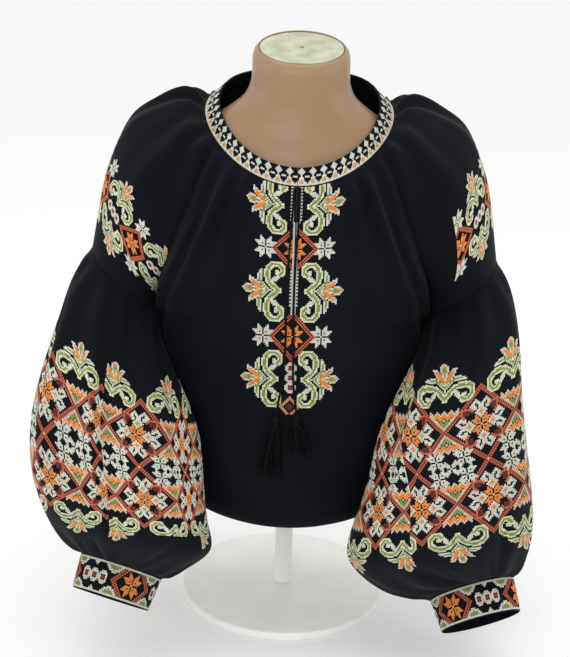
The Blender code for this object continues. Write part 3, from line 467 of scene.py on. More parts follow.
def upper_folds(grid):
    """Soft folds that run from the neckline over the shoulder."""
    across = np.linspace(-1, 1, grid.shape[1])[None, :]
    along = np.linspace(0, 1, grid.shape[0])[:, None]
    height = np.zeros(grid.shape[:2])
    for place, start, end, width, size in UPPER_FOLDS:
        length = fade(along, start, start + 0.15) * fade(1 - along, 1 - end, 1 - end + 0.3)
        height += size * bump(across - place, width) * length
    return height


def sleeve_folds(angle, along):
    """Gathers at the dropped seam and above the cuff, and the long folds between them."""
    height = np.zeros(angle.shape)
    for place, start, end, width, size in SLEEVE_FOLDS:
        gap = (angle - place + 180.0) % 360.0 - 180.0
        length = fade(along, start - 0.02, start + 0.12) * fade(1 - along, 1 - end, 1 - end + 0.25)
        height += size * bump(gap, width) * length
    seam_wave = 0.5 - 0.5 * np.cos(np.radians(angle) * SEAM_GATHERS)
    cuff_wave = 0.5 - 0.5 * np.cos(np.radians(angle) * CUFF_GATHERS + 0.6)
    under = fade(180.0 - np.abs(angle), 8.0, 40.0)
    height += SEAM_GATHER_HEIGHT * seam_wave * np.exp(-(along / 0.22) ** 2) * under
    height += CUFF_GATHER_HEIGHT * cuff_wave * fade(along, 0.70, 0.92)
    return height * fade(along, 0.0, 0.07) * fade(1 - along, 0.0, 0.05)


def grid_normals(grid, facing=1.0, wrap=False):
    """Unit normals of a grid. facing turns them out of the cloth."""
    if wrap:
        across = np.roll(grid, -1, axis=1) - np.roll(grid, 1, axis=1)
    else:
        across = np.gradient(grid, axis=1)
    down = np.gradient(grid, axis=0)
    normal = np.cross(down, across) * facing
    length = np.linalg.norm(normal, axis=-1, keepdims=True)
    return normal / np.maximum(length, 1e-9)


def match_rings(normals, ring_angles, other, other_angles):
    """Average the normals of a sleeve's end ring with those of the ring that it is sewn to."""
    around = np.concatenate([other_angles - 360.0, other_angles, other_angles + 360.0])
    tripled = np.concatenate([other, other, other])
    met = np.stack([np.interp(ring_angles, around, tripled[:, axis]) for axis in range(3)], axis=-1)
    both = normals + met
    return both / np.linalg.norm(both, axis=-1, keepdims=True)


def share_normals(first, second):
    """Give two touching edges the same normals, so that neither wall leans into the other."""
    both = first + second
    both /= np.maximum(np.linalg.norm(both, axis=-1, keepdims=True), 1e-9)
    first[...] = both
    second[...] = both


def pull_in(grid, rows=(), columns=(), gap=SEAM_GAP):
    """Move edge rows and columns towards the inside of their panel, which opens the seam gap."""
    for edge, inner in rows:
        step = grid[inner] - grid[edge]
        grid[edge] += step / np.linalg.norm(step, axis=-1, keepdims=True) * gap
    for edge, inner in columns:
        step = grid[:, inner] - grid[:, edge]
        grid[:, edge] += step / np.linalg.norm(step, axis=-1, keepdims=True) * gap


# The cloth pieces

def mirrored(half, flip):
    """Whole panel from its half at +X: columns run from the -X seam to the +X seam."""
    return np.concatenate([half[:, ::-1] * flip, half], axis=1)


def share_seams(front, back, upper):
    """One set of normals along each raglan seam and each side seam."""
    above = slice(0, UPPER_GRID_ROWS)
    below = slice(UPPER_GRID_ROWS, None)
    share_normals(front[above, -1], upper[above, 0])
    share_normals(back[above, -1], upper[above, -1])
    share_normals(front[below, -1], back[below, -1])
    for normals in (front, back):
        normals[:, 0] = normals[:, -1] * MIRROR


def form_ring(row):
    z, half_width, front_y, back_y, tilt, roundness = row
    turn = np.linspace(-np.pi, np.pi, SKIN_COLUMNS, endpoint=False)
    reach = np.where(np.cos(turn) > 0, FORM_AXIS_Y - front_y, back_y - FORM_AXIS_Y)
    sine, cosine = np.sin(turn), np.cos(turn)
    x = half_width * np.sign(sine) * np.abs(sine) ** (2 / roundness)
    y = FORM_AXIS_Y - reach * np.sign(cosine) * np.abs(cosine) ** (2 / roundness)
    return np.stack([x, y, z + (y - FORM_AXIS_Y) * math.tan(math.radians(tilt))], axis=-1)


# Meshes

def srgb(r, g, b):
    """Linear colour from 0-255 screen values."""
    def one(v):
        v = v / 255.0
        return v / 12.92 if v <= 0.04045 else ((v + 0.055) / 1.055) ** 2.4
    return one(r), one(g), one(b)


def link_mesh(name, points, faces, materials, indices=None, smooth=True):
    """Object from arrays: points in millimetres, faces as rows of three or four corners."""
    points = np.asarray(points, float) * MM
    faces = np.asarray(faces, np.int32)
    mesh = bpy.data.meshes.new(name)
    mesh.vertices.add(len(points))
    mesh.vertices.foreach_set("co", points.astype(np.float32).ravel())
    mesh.loops.add(faces.size)
    mesh.loops.foreach_set("vertex_index", faces.ravel())
    mesh.polygons.add(len(faces))
    mesh.polygons.foreach_set("loop_start", np.arange(0, faces.size, faces.shape[1], dtype=np.int32))
    for material in materials:
        mesh.materials.append(material)
    if indices is not None:
        mesh.polygons.foreach_set("material_index", np.asarray(indices, np.int32))
    mesh.update(calc_edges=True)
    mesh.validate()
    if smooth:
        mesh.shade_smooth()
    item = bpy.data.objects.new(name, mesh)
    bpy.context.scene.collection.objects.link(item)
    return item


def wall_mesh(name, outer, normals, thickness, material, wrap=False, keep=None):
    """Thin shell of a grid: outer faces, inner faces and a rim round every free edge."""
    rows, columns = outer.shape[:2]
    inner = outer - normals * thickness
    points = np.concatenate([outer.reshape(-1, 3), inner.reshape(-1, 3)])
    layer = rows * columns
    place = np.arange(layer).reshape(rows, columns)
    if wrap:
        place = np.concatenate([place, place[:, :1]], axis=1)
    a, b = place[:-1, :-1], place[1:, :-1]
    c, d = place[1:, 1:], place[:-1, 1:]
    quads = np.stack([a, b, c, d], axis=-1)
    if keep is None:
        keep = np.ones(quads.shape[:2], bool)
    kept = quads[keep]
    rims = []
    padded = np.pad(keep, 1, constant_values=False)
    if wrap:
        padded[1:-1, 0] = keep[:, -1]
        padded[1:-1, -1] = keep[:, 0]
    for shift, first, second in (((0, -1), 0, 1), ((1, 0), 1, 2), ((0, 1), 2, 3), ((-1, 0), 3, 0)):
        down, across = 1 + shift[0], 1 + shift[1]
        beside = padded[down:down + keep.shape[0], across:across + keep.shape[1]]
        free = quads[keep & ~beside]
        start, end = free[:, first], free[:, second]
        rims.append(np.stack([end, start, start + layer, end + layer], axis=-1))
    faces = np.concatenate([kept, kept[:, ::-1] + layer] + rims)
    used, packed = np.unique(faces, return_inverse=True)
    item = link_mesh(name, points[used], packed.reshape(faces.shape), [material])
    item.data.set_sharp_from_angle(angle=math.radians(60))
    return item


def sample(grid, rows, columns, wrap=False):
    """Grid values at fractional rows and columns."""
    count = grid.shape[1]
    rows = np.clip(rows, 0, grid.shape[0] - 1.0001)
    if wrap:
        columns = np.mod(columns, count)
    else:
        columns = np.clip(columns, 0, count - 1.0001)
    r = np.floor(rows).astype(int)
    c = np.floor(columns).astype(int)
    u = (rows - r)[..., None]
    v = (columns - c)[..., None]
    after = (c + 1) % count if wrap else c + 1
    upper = grid[r, c] * (1 - v) + grid[r, after] * v
    lower = grid[r + 1, c] * (1 - v) + grid[r + 1, after] * v
    return upper * (1 - u) + lower * u


# Materials

def node_material(name, colour, roughness):
    material = bpy.data.materials.new(name)
    material.use_nodes = True
    shader = material.node_tree.nodes["Principled BSDF"]
    shader.inputs["Base Color"].default_value = (*colour, 1.0)
    shader.inputs["Roughness"].default_value = roughness
    return material, material.node_tree, shader


def add_node(tree, kind, **values):
    node = tree.nodes.new(kind)
    for key, value in values.items():
        if hasattr(node, key):
            setattr(node, key, value)
        else:
            node.inputs[key.replace("_", " ")].default_value = value
    return node


def colour_patches(tree, shader, dark, light, scale, detail=3.0):
    """Soft uneven colour between two tones."""
    coords = tree.nodes.new("ShaderNodeTexCoord")
    noise = add_node(tree, "ShaderNodeTexNoise", Scale=scale, Detail=detail)
    ramp = tree.nodes.new("ShaderNodeValToRGB")
    ramp.color_ramp.elements[0].position = 0.35
    ramp.color_ramp.elements[0].color = (*dark, 1.0)
    ramp.color_ramp.elements[1].position = 0.68
    ramp.color_ramp.elements[1].color = (*light, 1.0)
    tree.links.new(coords.outputs["Object"], noise.inputs["Vector"])
    tree.links.new(noise.outputs["Fac"], ramp.inputs["Fac"])
    tree.links.new(ramp.outputs["Color"], shader.inputs["Base Color"])
    return coords


def cloth_material(name, dark, light):
    """Black plain weave: two crossed fine waves, softened by uneven patches."""
    material, tree, shader = node_material(name, dark, 0.78)
    coords = colour_patches(tree, shader, dark, light, 9.0)
    shader.inputs["Sheen Weight"].default_value = 0.025
    shader.inputs["Sheen Roughness"].default_value = 0.45
    shader.inputs["Specular IOR Level"].default_value = 0.09
    across = add_node(tree, "ShaderNodeTexWave", bands_direction="X", Scale=330.0, Distortion=0.6)
    along = add_node(tree, "ShaderNodeTexWave", bands_direction="Z", Scale=330.0, Distortion=0.6)
    both = add_node(tree, "ShaderNodeMath", operation="MULTIPLY")
    creases = add_node(tree, "ShaderNodeTexNoise", Scale=26.0, Detail=5.0)
    fine = add_node(tree, "ShaderNodeBump", Strength=0.18, Distance=0.0004)
    soft = add_node(tree, "ShaderNodeBump", Strength=0.30, Distance=0.0030)
    for wave in (across, along):
        tree.links.new(coords.outputs["Object"], wave.inputs["Vector"])
    tree.links.new(coords.outputs["Object"], creases.inputs["Vector"])
    tree.links.new(across.outputs["Fac"], both.inputs[0])
    tree.links.new(along.outputs["Fac"], both.inputs[1])
    tree.links.new(both.outputs[0], fine.inputs["Height"])
    tree.links.new(creases.outputs["Fac"], soft.inputs["Height"])
    tree.links.new(soft.outputs["Normal"], fine.inputs["Normal"])
    tree.links.new(fine.outputs["Normal"], shader.inputs["Normal"])
    return material


def thread_material(name, colour, gloss=0.4):
    """Embroidery floss: a fine twist along the thread and a soft gloss."""
    material, tree, shader = node_material(name, colour, 0.55)
    shader.inputs["Specular IOR Level"].default_value = gloss
    dark = tuple(value * 0.82 for value in colour)
    light = tuple(min(1.0, value * 1.08) for value in colour)
    coords = colour_patches(tree, shader, dark, light, 260.0, 2.0)
    shader.inputs["Sheen Weight"].default_value = gloss * 0.3
    twist = add_node(tree, "ShaderNodeTexNoise", Scale=900.0, Detail=2.0)
    bumpy = add_node(tree, "ShaderNodeBump", Strength=0.25, Distance=0.0003)
    tree.links.new(coords.outputs["Object"], twist.inputs["Vector"])
    tree.links.new(twist.outputs["Fac"], bumpy.inputs["Height"])
    tree.links.new(bumpy.outputs["Normal"], shader.inputs["Normal"])
    return material


def smooth_material(name, dark, light, roughness, scale, strength, coat=0.0):
    """Plain surface with uneven tone and a slight grain."""
    material, tree, shader = node_material(name, dark, roughness)
    coords = colour_patches(tree, shader, dark, light, scale)
    shader.inputs["Coat Weight"].default_value = coat
    shader.inputs["Coat Roughness"].default_value = 0.25
    grain = add_node(tree, "ShaderNodeTexNoise", Scale=420.0, Detail=3.0)
    bumpy = add_node(tree, "ShaderNodeBump", Strength=strength, Distance=0.0003)
    tree.links.new(coords.outputs["Object"], grain.inputs["Vector"])
    tree.links.new(grain.outputs["Fac"], bumpy.inputs["Height"])
    tree.links.new(bumpy.outputs["Normal"], shader.inputs["Normal"])
    return material


CLOTH = cloth_material("shirt_black_cloth", srgb(6, 8, 13), srgb(11, 14, 22))
FORM = smooth_material("form_skin_plastic", srgb(136, 107, 74), srgb(147, 118, 85), 0.42, 7.0, 0.05, 0.15)
PLATE = smooth_material("cap_pale_plate", srgb(164, 166, 138), srgb(190, 192, 166), 0.55, 60.0, 0.25)
PAINT = smooth_material("stand_white_paint", srgb(232, 232, 230), srgb(240, 240, 238), 0.40, 12.0, 0.10, 0.1)
CORD = thread_material("black_tie_cord", srgb(9, 9, 11), 0.08)
TASSEL = thread_material("black_tassel_thread", srgb(8, 8, 10), 0.08)
THREADS = {
    "I": thread_material("floss_ivory", srgb(203, 204, 190)),
    "G": thread_material("floss_olive", srgb(124, 136, 64)),
    "Y": thread_material("floss_pale_green", srgb(212, 214, 176)),
    "O": thread_material("floss_orange", srgb(222, 132, 46)),
    "R": thread_material("floss_rust", srgb(194, 94, 56)),
    "D": thread_material("floss_dark_red", srgb(76, 16, 16)),
    "T": thread_material("floss_tan", srgb(204, 146, 84)),
    "C": thread_material("floss_crimson", srgb(150, 26, 36)),
}
CODES = " " + "".join(THREADS)


# Stitch charts: small arrays of colour codes, 0 is bare cloth. Rows run down, columns across.

def blank(width, height):
    return np.zeros((height, width), np.uint8)


def put(chart, x, y, code):
    """One stitch at column x and row y, if it lies on the chart."""
    if 0 <= y < chart.shape[0] and 0 <= x < chart.shape[1]:
        chart[y, x] = CODES.index(code)


def stroke(chart, route, core, edge, core_half, edge_half):
    """Curved band with an outline along a route of (x, y) points."""
    route = np.array(route, float)
    knots = np.arange(len(route))
    line = smooth_through(knots, route, np.linspace(0, knots[-1], 40 * len(route)))
    ys, xs = np.mgrid[0:chart.shape[0], 0:chart.shape[1]]
    distance = np.full(chart.shape, 99.0)
    for x, y in line:
        distance = np.minimum(distance, np.hypot(xs - x, ys - y))
    if edge:
        chart[(distance <= edge_half) & (chart != CODES.index(core))] = CODES.index(edge)
    chart[distance <= core_half] = CODES.index(core)


def stamp(chart, art, left, top):
    """Small motif drawn as text, a dot is left as it is."""
    for row, line in enumerate(art):
        for column, code in enumerate(line):
            if code != ".":
                put(chart, left + column, top + row, code)


def mirror_x(half):
    """Whole motif from its right half, whose first column is the middle."""
    return np.concatenate([half[:, :0:-1], half], axis=1)


def paste(chart, motif, centre_x, centre_y):
    """Lay a motif on a chart with its middle at a place. Bare stitches change nothing."""
    height, width = motif.shape
    top, left = int(centre_y - height // 2), int(centre_x - width // 2)
    ys, xs = np.nonzero(motif)
    ok = (ys + top >= 0) & (ys + top < chart.shape[0]) & (xs + left >= 0) & (xs + left < chart.shape[1])
    chart[ys[ok] + top, xs[ok] + left] = motif[ys[ok], xs[ok]]


def star(reach, code, spots, centre):
    """Eight-petalled star with a spot in each pair of petals, reach stitches from middle to tip."""
    chart = blank(2 * reach + 1, 2 * reach + 1)
    for x in range(-reach, reach + 1):
        for y in range(-reach, reach + 1):
            near, far = sorted((abs(x), abs(y)))
            if 1 <= near <= 3 and far <= near + reach - 3:
                put(chart, x + reach, y + reach, spots if near == far == 2 else code)
    put(chart, reach, reach, centre)
    return chart


TULIP = (
    # right half from the flower's tip to its foot, middle column first
    "I............",
    "TI...........",
    "TTI..........",
    "GTI..........",
    "GGI..III.....",
    "GGI.IOI......",
    "GI.OOOI......",
    "GIOOOI.......",
    "GIOOOI.......",
    "IOOOI.IIII...",
    "IOOOIGGGGGII.",
    "OOGGGGIIIIIII",
    "YGYGI........",
    "YYGI.........",
    "GGI..........",
    "GI...........",
    "I............",
    "I............",
)
BUD_LEAF = (
    "II..",
    "III.",
    ".III",
    ".III",
    "..I.",
)
TULIP_HEIGHT = 26
TULIP_HALF_WIDTH = 18
SCROLL = (
    # across, up from the motif's foot
    (0.0, 3.2), (1.2, 4.9), (2.5, 6.5), (4.3, 8.4), (6.4, 9.8), (9.2, 10.5), (12.0, 10.2), (14.2, 9.1),
    (15.7, 7.3), (16.2, 5.1), (15.7, 3.0), (14.1, 1.4), (12.1, 1.0), (10.2, 1.8), (9.5, 3.3),
)
SCROLL_CORE = 0.75
SCROLL_EDGE = 1.75


def tulip_motif():
    """Tulip with two leaves over a pair of scrolls, foot down."""
    half = blank(TULIP_HALF_WIDTH + 1, TULIP_HEIGHT)
    foot = TULIP_HEIGHT - 1
    stroke(half, [(x, foot - y) for x, y in SCROLL], "G", "Y", SCROLL_CORE, SCROLL_EDGE)
    stamp(half, BUD_LEAF, 5, foot - 8)
    stamp(half, ("III", "..I"), 10, foot - 5)
    stamp(half, TULIP, 0, 0)
    return mirror_x(half)


HOOK = (
    # right half of the ornament that points up, middle column first
    "...I....",
    "..III...",
    ".II.II..",
    "II..III.",
    "II.III..",
    "II.II...",
    "OII.....",
    "OOII....",
    "OII.....",
    "II......",
    "I.......",
)
ROSETTE = (
    ".RRRRRR",
    "RRDDDR.",
    "R.DDDR.",
    "..DDDR.",
    "..DDDR.",
    "....RR.",
    "...RR..",
)
RHOMB_REACH = 16


def rhomb_motif():
    """Orange star with four hooked ornaments and four rosettes."""
    size = 2 * RHOMB_REACH + 1
    chart = blank(size, size)
    hook = blank(8, len(HOOK))
    stamp(hook, HOOK, 0, 0)
    rose = blank(7, 7)
    stamp(rose, ROSETTE, 0, 0)
    for turns in range(4):
        layer = blank(size, size)
        paste(layer, mirror_x(hook), RHOMB_REACH, RHOMB_REACH - 9)
        paste(layer, rose, RHOMB_REACH + 8, RHOMB_REACH - 8)
        layer = np.rot90(layer, turns)
        chart[layer > 0] = layer[layer > 0]
    paste(chart, star(5, "O", "D", "I"), RHOMB_REACH, RHOMB_REACH)
    return chart


SAWTOOTH = (
    # right half of the inverted triangle, middle column first
    "I...I...I",
    "OI.IOI.IO",
    "OOIOOOIOI",
    "OOOOOOOI.",
    ".OOO.OI..",
    "I.G.II...",
    ".GGGI....",
    "GGGI.....",
    "GGI......",
    "GI.......",
    "I........",
)


def sawtooth():
    """Inverted triangle: green foot, a row of rings and a toothed orange top."""
    half = blank(9, len(SAWTOOTH))
    stamp(half, SAWTOOTH, 0, 0)
    return mirror_x(half)


def white_group():
    """Four white stars that meet in a fifth one."""
    chart = blank(27, 21)
    for x in (5, 21):
        for y in (5, 15):
            paste(chart, star(5, "I", " ", "I"), x, y)
    paste(chart, star(4, "I", "I", "I"), 13, 10)
    return chart


REPEAT = 42
TULIP_FOOT = 15          # rows from a line of crossings to a tulip's foot
BAND_ABOVE = TULIP_FOOT + TULIP_HEIGHT   # rows of the band above its first line of crossings
BAND_ROWS = 2 * BAND_ABOVE + REPEAT + 1


def sleeve_chart(repeats):
    """The lower sleeve's band: tulips, two rows of rhombs on a lattice, tulips again."""
    width = REPEAT * repeats
    chart = blank(width, BAND_ROWS)
    half = REPEAT // 2
    first, second = BAND_ABOVE, BAND_ABOVE + REPEAT
    ys, xs = np.mgrid[0:BAND_ROWS, 0:width]
    for centre in (first, second):
        x = (xs + half) % REPEAT - half
        gap = np.abs(np.abs(x) + np.abs(ys - centre) - half)
        near = np.abs(ys - centre) <= half + 1
        chart[near & (gap == 0)] = CODES.index("D")
        chart[near & (gap == 1)] = CODES.index("R")
    tooth, group, tulip, rhomb = sawtooth(), white_group(), tulip_motif(), rhomb_motif()
    for n in range(-1, repeats + 1):
        middle = n * REPEAT
        for centre in (first, second):
            paste(chart, rhomb, middle, centre)
            stamp_centred(chart, tooth, middle + half, centre - len(SAWTOOTH) - 1)
            stamp_centred(chart, tooth[::-1], middle + half, centre + 2)
        paste(chart, group, middle + half, (first + second) // 2)
        put(chart, middle, (first + second) // 2, "I")
        stamp_centred(chart, tulip, middle + half, first - BAND_ABOVE)
        stamp_centred(chart, tulip[::-1], middle + half, second + TULIP_FOOT + 1)
    return chart


def stamp_centred(chart, motif, centre_x, top):
    """Lay a motif on a chart with its middle column and its top row at a place."""
    paste(chart, motif, centre_x, top + motif.shape[0] // 2)


def lattice_strip(half_length):
    """Row of white rings, each round a crimson cross, lying along the chart's columns."""
    chart = blank(2 * half_length + 1, 7)
    for x in range(-half_length, half_length + 1):
        step = abs((x + 3) % 6 - 3)
        for y in range(-3, 4):
            if step + abs(y) <= 1:
                put(chart, x + half_length, y + 3, "C")
            elif step + abs(y) in (3, 4) or (step, abs(y)) in ((2, 0), (0, 2)):
                put(chart, x + half_length, y + 3, "I")
    return chart


def rust_rhomb(half_size):
    """Two rust lines round an orange star."""
    size = 2 * half_size + 1
    chart = blank(size, size)
    ys, xs = np.mgrid[0:size, 0:size]
    gap = half_size - np.abs(xs - half_size) - np.abs(ys - half_size)
    chart[(gap == 0) | (gap == 2)] = CODES.index("R")
    paste(chart, star(6, "O", "D", "I"), half_size, half_size)
    return chart


COLUMN_REPEAT = 52       # stitches from one rhomb of a column to the next
COLUMN_FOOT = 5          # stitches from the middle line to a tulip's foot
COLUMN_HALF = COLUMN_FOOT + TULIP_HEIGHT
STAR_AT = 18
LINE_RHOMB = 14


def column_chart(repeats):
    """Band of mirrored tulip motifs on each side of a line of rhombs. It runs along the columns."""
    chart = blank(COLUMN_REPEAT * repeats, 2 * COLUMN_HALF + 1)
    tulip, rhomb, white = tulip_motif(), rust_rhomb(LINE_RHOMB), star(6, "I", " ", "I")
    strip = lattice_strip(9)
    for n in range(-1, repeats + 2):
        motif = n * COLUMN_REPEAT
        rhomb_x = motif + COLUMN_REPEAT // 2
        stamp_centred(chart, tulip, motif, 0)
        stamp_centred(chart, tulip[::-1], motif, COLUMN_HALF + COLUMN_FOOT + 1)
        for side in (-1, 1):
            paste(chart, white, rhomb_x, COLUMN_HALF + side * STAR_AT)
        paste(chart, rhomb, rhomb_x, COLUMN_HALF)
        paste(chart, strip, motif, COLUMN_HALF)
    return chart


FRONT_ABOVE = 12         # rows between the neck band and the first motif's middle
FRONT_ROWS = 138
SLIT_ROWS = 77           # rows down to the slit's end
WIDE_SLIT_ROWS = 22      # rows whose edge lines stand wider apart
PICOT_GAPS = ((23, 51), (74, 90))   # rows of the rhombs, where the slit's edge has no picots


def front_chart():
    """The front's embroidered middle. Rows run down from the neck band."""
    chart = blank(2 * COLUMN_HALF + 1, FRONT_ROWS)
    tulip = tulip_motif()
    rhomb, white = rust_rhomb(LINE_RHOMB), star(6, "I", " ", "I")
    motifs = [FRONT_ABOVE + COLUMN_REPEAT * n for n in range(3)]
    reach = COLUMN_FOOT + TULIP_HEIGHT // 2
    for row in motifs:
        paste(chart, np.rot90(tulip, -1), COLUMN_HALF + reach, row)
        paste(chart, np.rot90(tulip, 1), COLUMN_HALF - reach, row)
    for row in (motifs[0] + COLUMN_REPEAT // 2, motifs[1] + COLUMN_REPEAT // 2):
        paste(chart, white, COLUMN_HALF - STAR_AT, row)
        paste(chart, white, COLUMN_HALF + STAR_AT, row)
        paste(chart, rhomb, COLUMN_HALF, row)
    paste(chart, lattice_strip(9).T, COLUMN_HALF, motifs[2] - 1)
    ys, xs = np.mgrid[0:FRONT_ROWS, 0:2 * COLUMN_HALF + 1]
    ring = np.abs(xs - COLUMN_HALF) + np.abs(ys - (motifs[2] + 17))
    chart[ring <= 6] = CODES.index("T")
    chart[(ring == 3) | (ring == 4)] = 0
    chart[ring <= 2] = CODES.index("D")
    for row in range(SLIT_ROWS + 1):
        edge = 2 if row < WIDE_SLIT_ROWS else 1
        chart[row, COLUMN_HALF - edge:COLUMN_HALF + edge + 1] = 0
        for side in (-1, 1):
            put(chart, COLUMN_HALF + side * edge, row, "I")
            beside_rhomb = any(start <= row <= end for start, end in PICOT_GAPS)
            if row % 2 == 0 and not beside_rhomb:
                put(chart, COLUMN_HALF + side * (edge + 1), row, "I")
    return chart


COLLAR = (
    "..I.....",
    ".III....",
    "IIIII...",
    ".III....",
    "..I.....",
    "..I..III",
    ".III....",
    ".ITI....",
    "ITTTI...",
    "ITTTII.I",
    "IIIIIIII",
)


def collar_chart(repeats):
    width = len(COLLAR[0])
    chart = blank(width * repeats, len(COLLAR))
    for n in range(repeats):
        stamp(chart, COLLAR, n * width, 0)
    return chart


CUFF_HALF = 8


def cuff_chart(repeats):
    """Rhomb with a star, lattice strip, bits of scroll at the edges and an ivory line along both."""
    chart = blank(COLUMN_REPEAT * repeats, 2 * CUFF_HALF + 1)
    ys, xs = np.mgrid[0:chart.shape[0], 0:chart.shape[1]]
    x = (xs + COLUMN_REPEAT // 2) % COLUMN_REPEAT - COLUMN_REPEAT // 2
    blob = np.hypot((np.abs(x) - 14) / 5.5, (np.abs(ys - CUFF_HALF) - 8) / 4.2)
    chart[blob <= 1.0] = CODES.index("I")
    chart[blob <= 0.72] = CODES.index("G")
    chart[LINE_RHOMB - np.abs(x) - np.abs(ys - CUFF_HALF) >= -1] = 0
    for n in range(-1, repeats + 1):
        paste(chart, rust_rhomb(LINE_RHOMB), n * COLUMN_REPEAT, CUFF_HALF)
        strip_x = n * COLUMN_REPEAT + COLUMN_REPEAT // 2
        paste(chart, lattice_strip(8), strip_x, CUFF_HALF)
        for side in (-1, 1):
            for dx, dy in ((-1, 7), (1, 7), (0, 6), (0, 7)):
                put(chart, strip_x + dx, CUFF_HALF + side * dy, "I")
    chart[(0, -1), :] = CODES.index("I")
    return chart


# Stitches

STITCH_FILL = 0.47       # half a stitch's reach, as a share of the grid step
ARM_HALF = 0.44          # half width of a thread
ARM_LOW = 0.10           # height of a thread's edges above the cloth
ARM_HIGH = 0.42          # height of its crest


def stitch_mesh(name, chart, place, pieces=1):
    """Cross stitches of a chart. place turns chart coordinates into cloth points and normals."""
    made = []
    ys, xs = np.nonzero(chart)
    order = np.argsort(ys, kind="stable")
    for part, chosen in enumerate(np.array_split(order, pieces)):
        y, x = ys[chosen].astype(float), xs[chosen].astype(float)
        points, faces, indices = [], [], []
        for layer, (dx, dy) in enumerate(((1, 1), (1, -1))):
            first, normal = place(x - STITCH_FILL * dx, y - STITCH_FILL * dy)
            last, normal_end = place(x + STITCH_FILL * dx, y + STITCH_FILL * dy)
            normal = normal + normal_end
            normal /= np.linalg.norm(normal, axis=-1, keepdims=True)
            side = np.cross(normal, last - first)
            side *= ARM_HALF / np.maximum(np.linalg.norm(side, axis=-1, keepdims=True), 1e-6)
            low = normal * (ARM_LOW + 0.12 * layer)
            high = normal * (ARM_HIGH + 0.12 * layer)
            points.append(np.stack([first + side + low, first + high, first - side + low,
                                    last + side + low, last + high, last - side + low], axis=1))
        stitches = np.concatenate(points)
        base = np.arange(len(stitches))[:, None] * 6
        for corners in ((0, 1, 4, 3), (1, 2, 5, 4)):
            faces.append(base + np.array(corners))
            indices.append(np.tile(chart[ys[chosen], xs[chosen]].astype(int) - 1, 2))
        label = name if pieces == 1 else "%s_%d" % (name, part + 1)
        item = link_mesh(label, stitches.reshape(-1, 3), np.concatenate(faces), list(THREADS.values()),
                         np.concatenate(indices), smooth=False)
        made.append(item)
    return made


def finish_piece(item, slot, *nodes):
    """A piece of the part: it rides on the one body and hides the solids named in nodes; slot is not used."""
    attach(item, "root")
    if nodes:
        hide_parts(*nodes)
    return item


GATHER_EASE = 1.1        # cloth that the fine gathers take up, across and along


def sheet_area(outer, wrap=False):
    """Area of a grid in square metres."""
    grid = np.concatenate([outer, outer[:, :1]], axis=1) if wrap else outer
    a = grid[1:, 1:] - grid[:-1, :-1]
    b = grid[1:, :-1] - grid[:-1, 1:]
    return float(np.linalg.norm(np.cross(a, b), axis=-1).sum() / 2) * MM * MM


def panel_cut(outer, wrap=False):
    """Width, length and area of the panel before it was gathered, in metres."""
    width = max(row_lengths(row, wrap)[-1] for row in outer) * MM * GATHER_EASE
    length = max(row_lengths(column)[-1] for column in np.swapaxes(outer, 0, 1)) * MM * GATHER_EASE
    area = sheet_area(outer, wrap) * GATHER_EASE * GATHER_EASE
    return round(width, 3), round(length, 3), round(area, 4)


def row_lengths(row, wrap=False):
    """Distance along a row of points from its first one."""
    line = np.concatenate([row, row[:1]]) if wrap else row
    return np.concatenate([[0.0], np.cumsum(np.linalg.norm(np.diff(line, axis=0), axis=-1))])



# Shirt panels

GATHER_GAIN = 1.7        # the shell's gathers below the neck band are crisper than the solid's


def shirt_surfaces():
    """Front, back and upper sleeve at +X as outer points with normals, seams matched."""
    front_half, front_angle = body_grid(FRONT_UPPER_ROWS, -1, FRONT_COLUMNS, SHELL_SLIT_HALF_GAP)
    back_half, back_angle = body_grid(BACK_UPPER_ROWS, 1, BACK_COLUMNS, 0.0)
    upper, upper_angle = upper_sleeve_grid()
    front = mirrored(front_half, MIRROR)
    back = np.delete(mirrored(back_half, MIRROR), BACK_COLUMNS, axis=1)
    front_lift = neck_gathers(front_angle, distance_down(front_half)) * GATHER_GAIN
    front_lift = front_lift + panel_folds(front_half, FRONT_FOLDS)
    back_lift = neck_gathers(back_angle, distance_down(back_half)) * GATHER_GAIN
    back_lift = back_lift + panel_folds(back_half, BACK_FOLDS)
    front_lift = mirrored(front_lift, 1.0)[..., None]
    back_lift = np.delete(mirrored(back_lift, 1.0), BACK_COLUMNS, axis=1)[..., None]
    upper_lift = neck_gathers(upper_angle, distance_down(upper)) * GATHER_GAIN
    upper_lift = (upper_lift + upper_folds(upper))[..., None]
    plain = grid_normals(front, 1.0), grid_normals(back, -1.0), grid_normals(upper, 1.0)
    share_seams(*plain)
    front = front + plain[0] * (front_lift + front_creases(front)[..., None])
    back = back + plain[1] * back_lift
    upper = upper + plain[2] * upper_lift
    swell_sides(front)
    swell_sides(back)
    normals = grid_normals(front, 1.0), grid_normals(back, -1.0), grid_normals(upper, 1.0)
    share_seams(*normals)
    for grid in (front, back):
        pull_in(grid, rows=((0, 1),), columns=((0, 1), (-1, -2)))
    pull_in(upper, rows=((0, 1), (-1, -2)), columns=((0, 1), (-1, -2)))
    return (front, normals[0]), (back, normals[1]), (upper, normals[2])


FRONT_CREASES = (
    # x at the top, x at the bottom, start_z, end_z, width, height
    (-74.0, -96.0, 510.0, 350.0, 4.5, 2.6),
    (-52.0, -60.0, 520.0, 430.0, 3.6, 2.0),
    (66.0, 92.0, 512.0, 360.0, 4.5, 2.6),
    (50.0, 52.0, 520.0, 420.0, 3.6, 2.0),
    (-120.0, -60.0, 330.0, 190.0, 9.0, 1.8),
    (112.0, 70.0, 320.0, 180.0, 9.0, 1.8),
    (-20.0, 30.0, 250.0, 160.0, 10.0, 1.2),
)


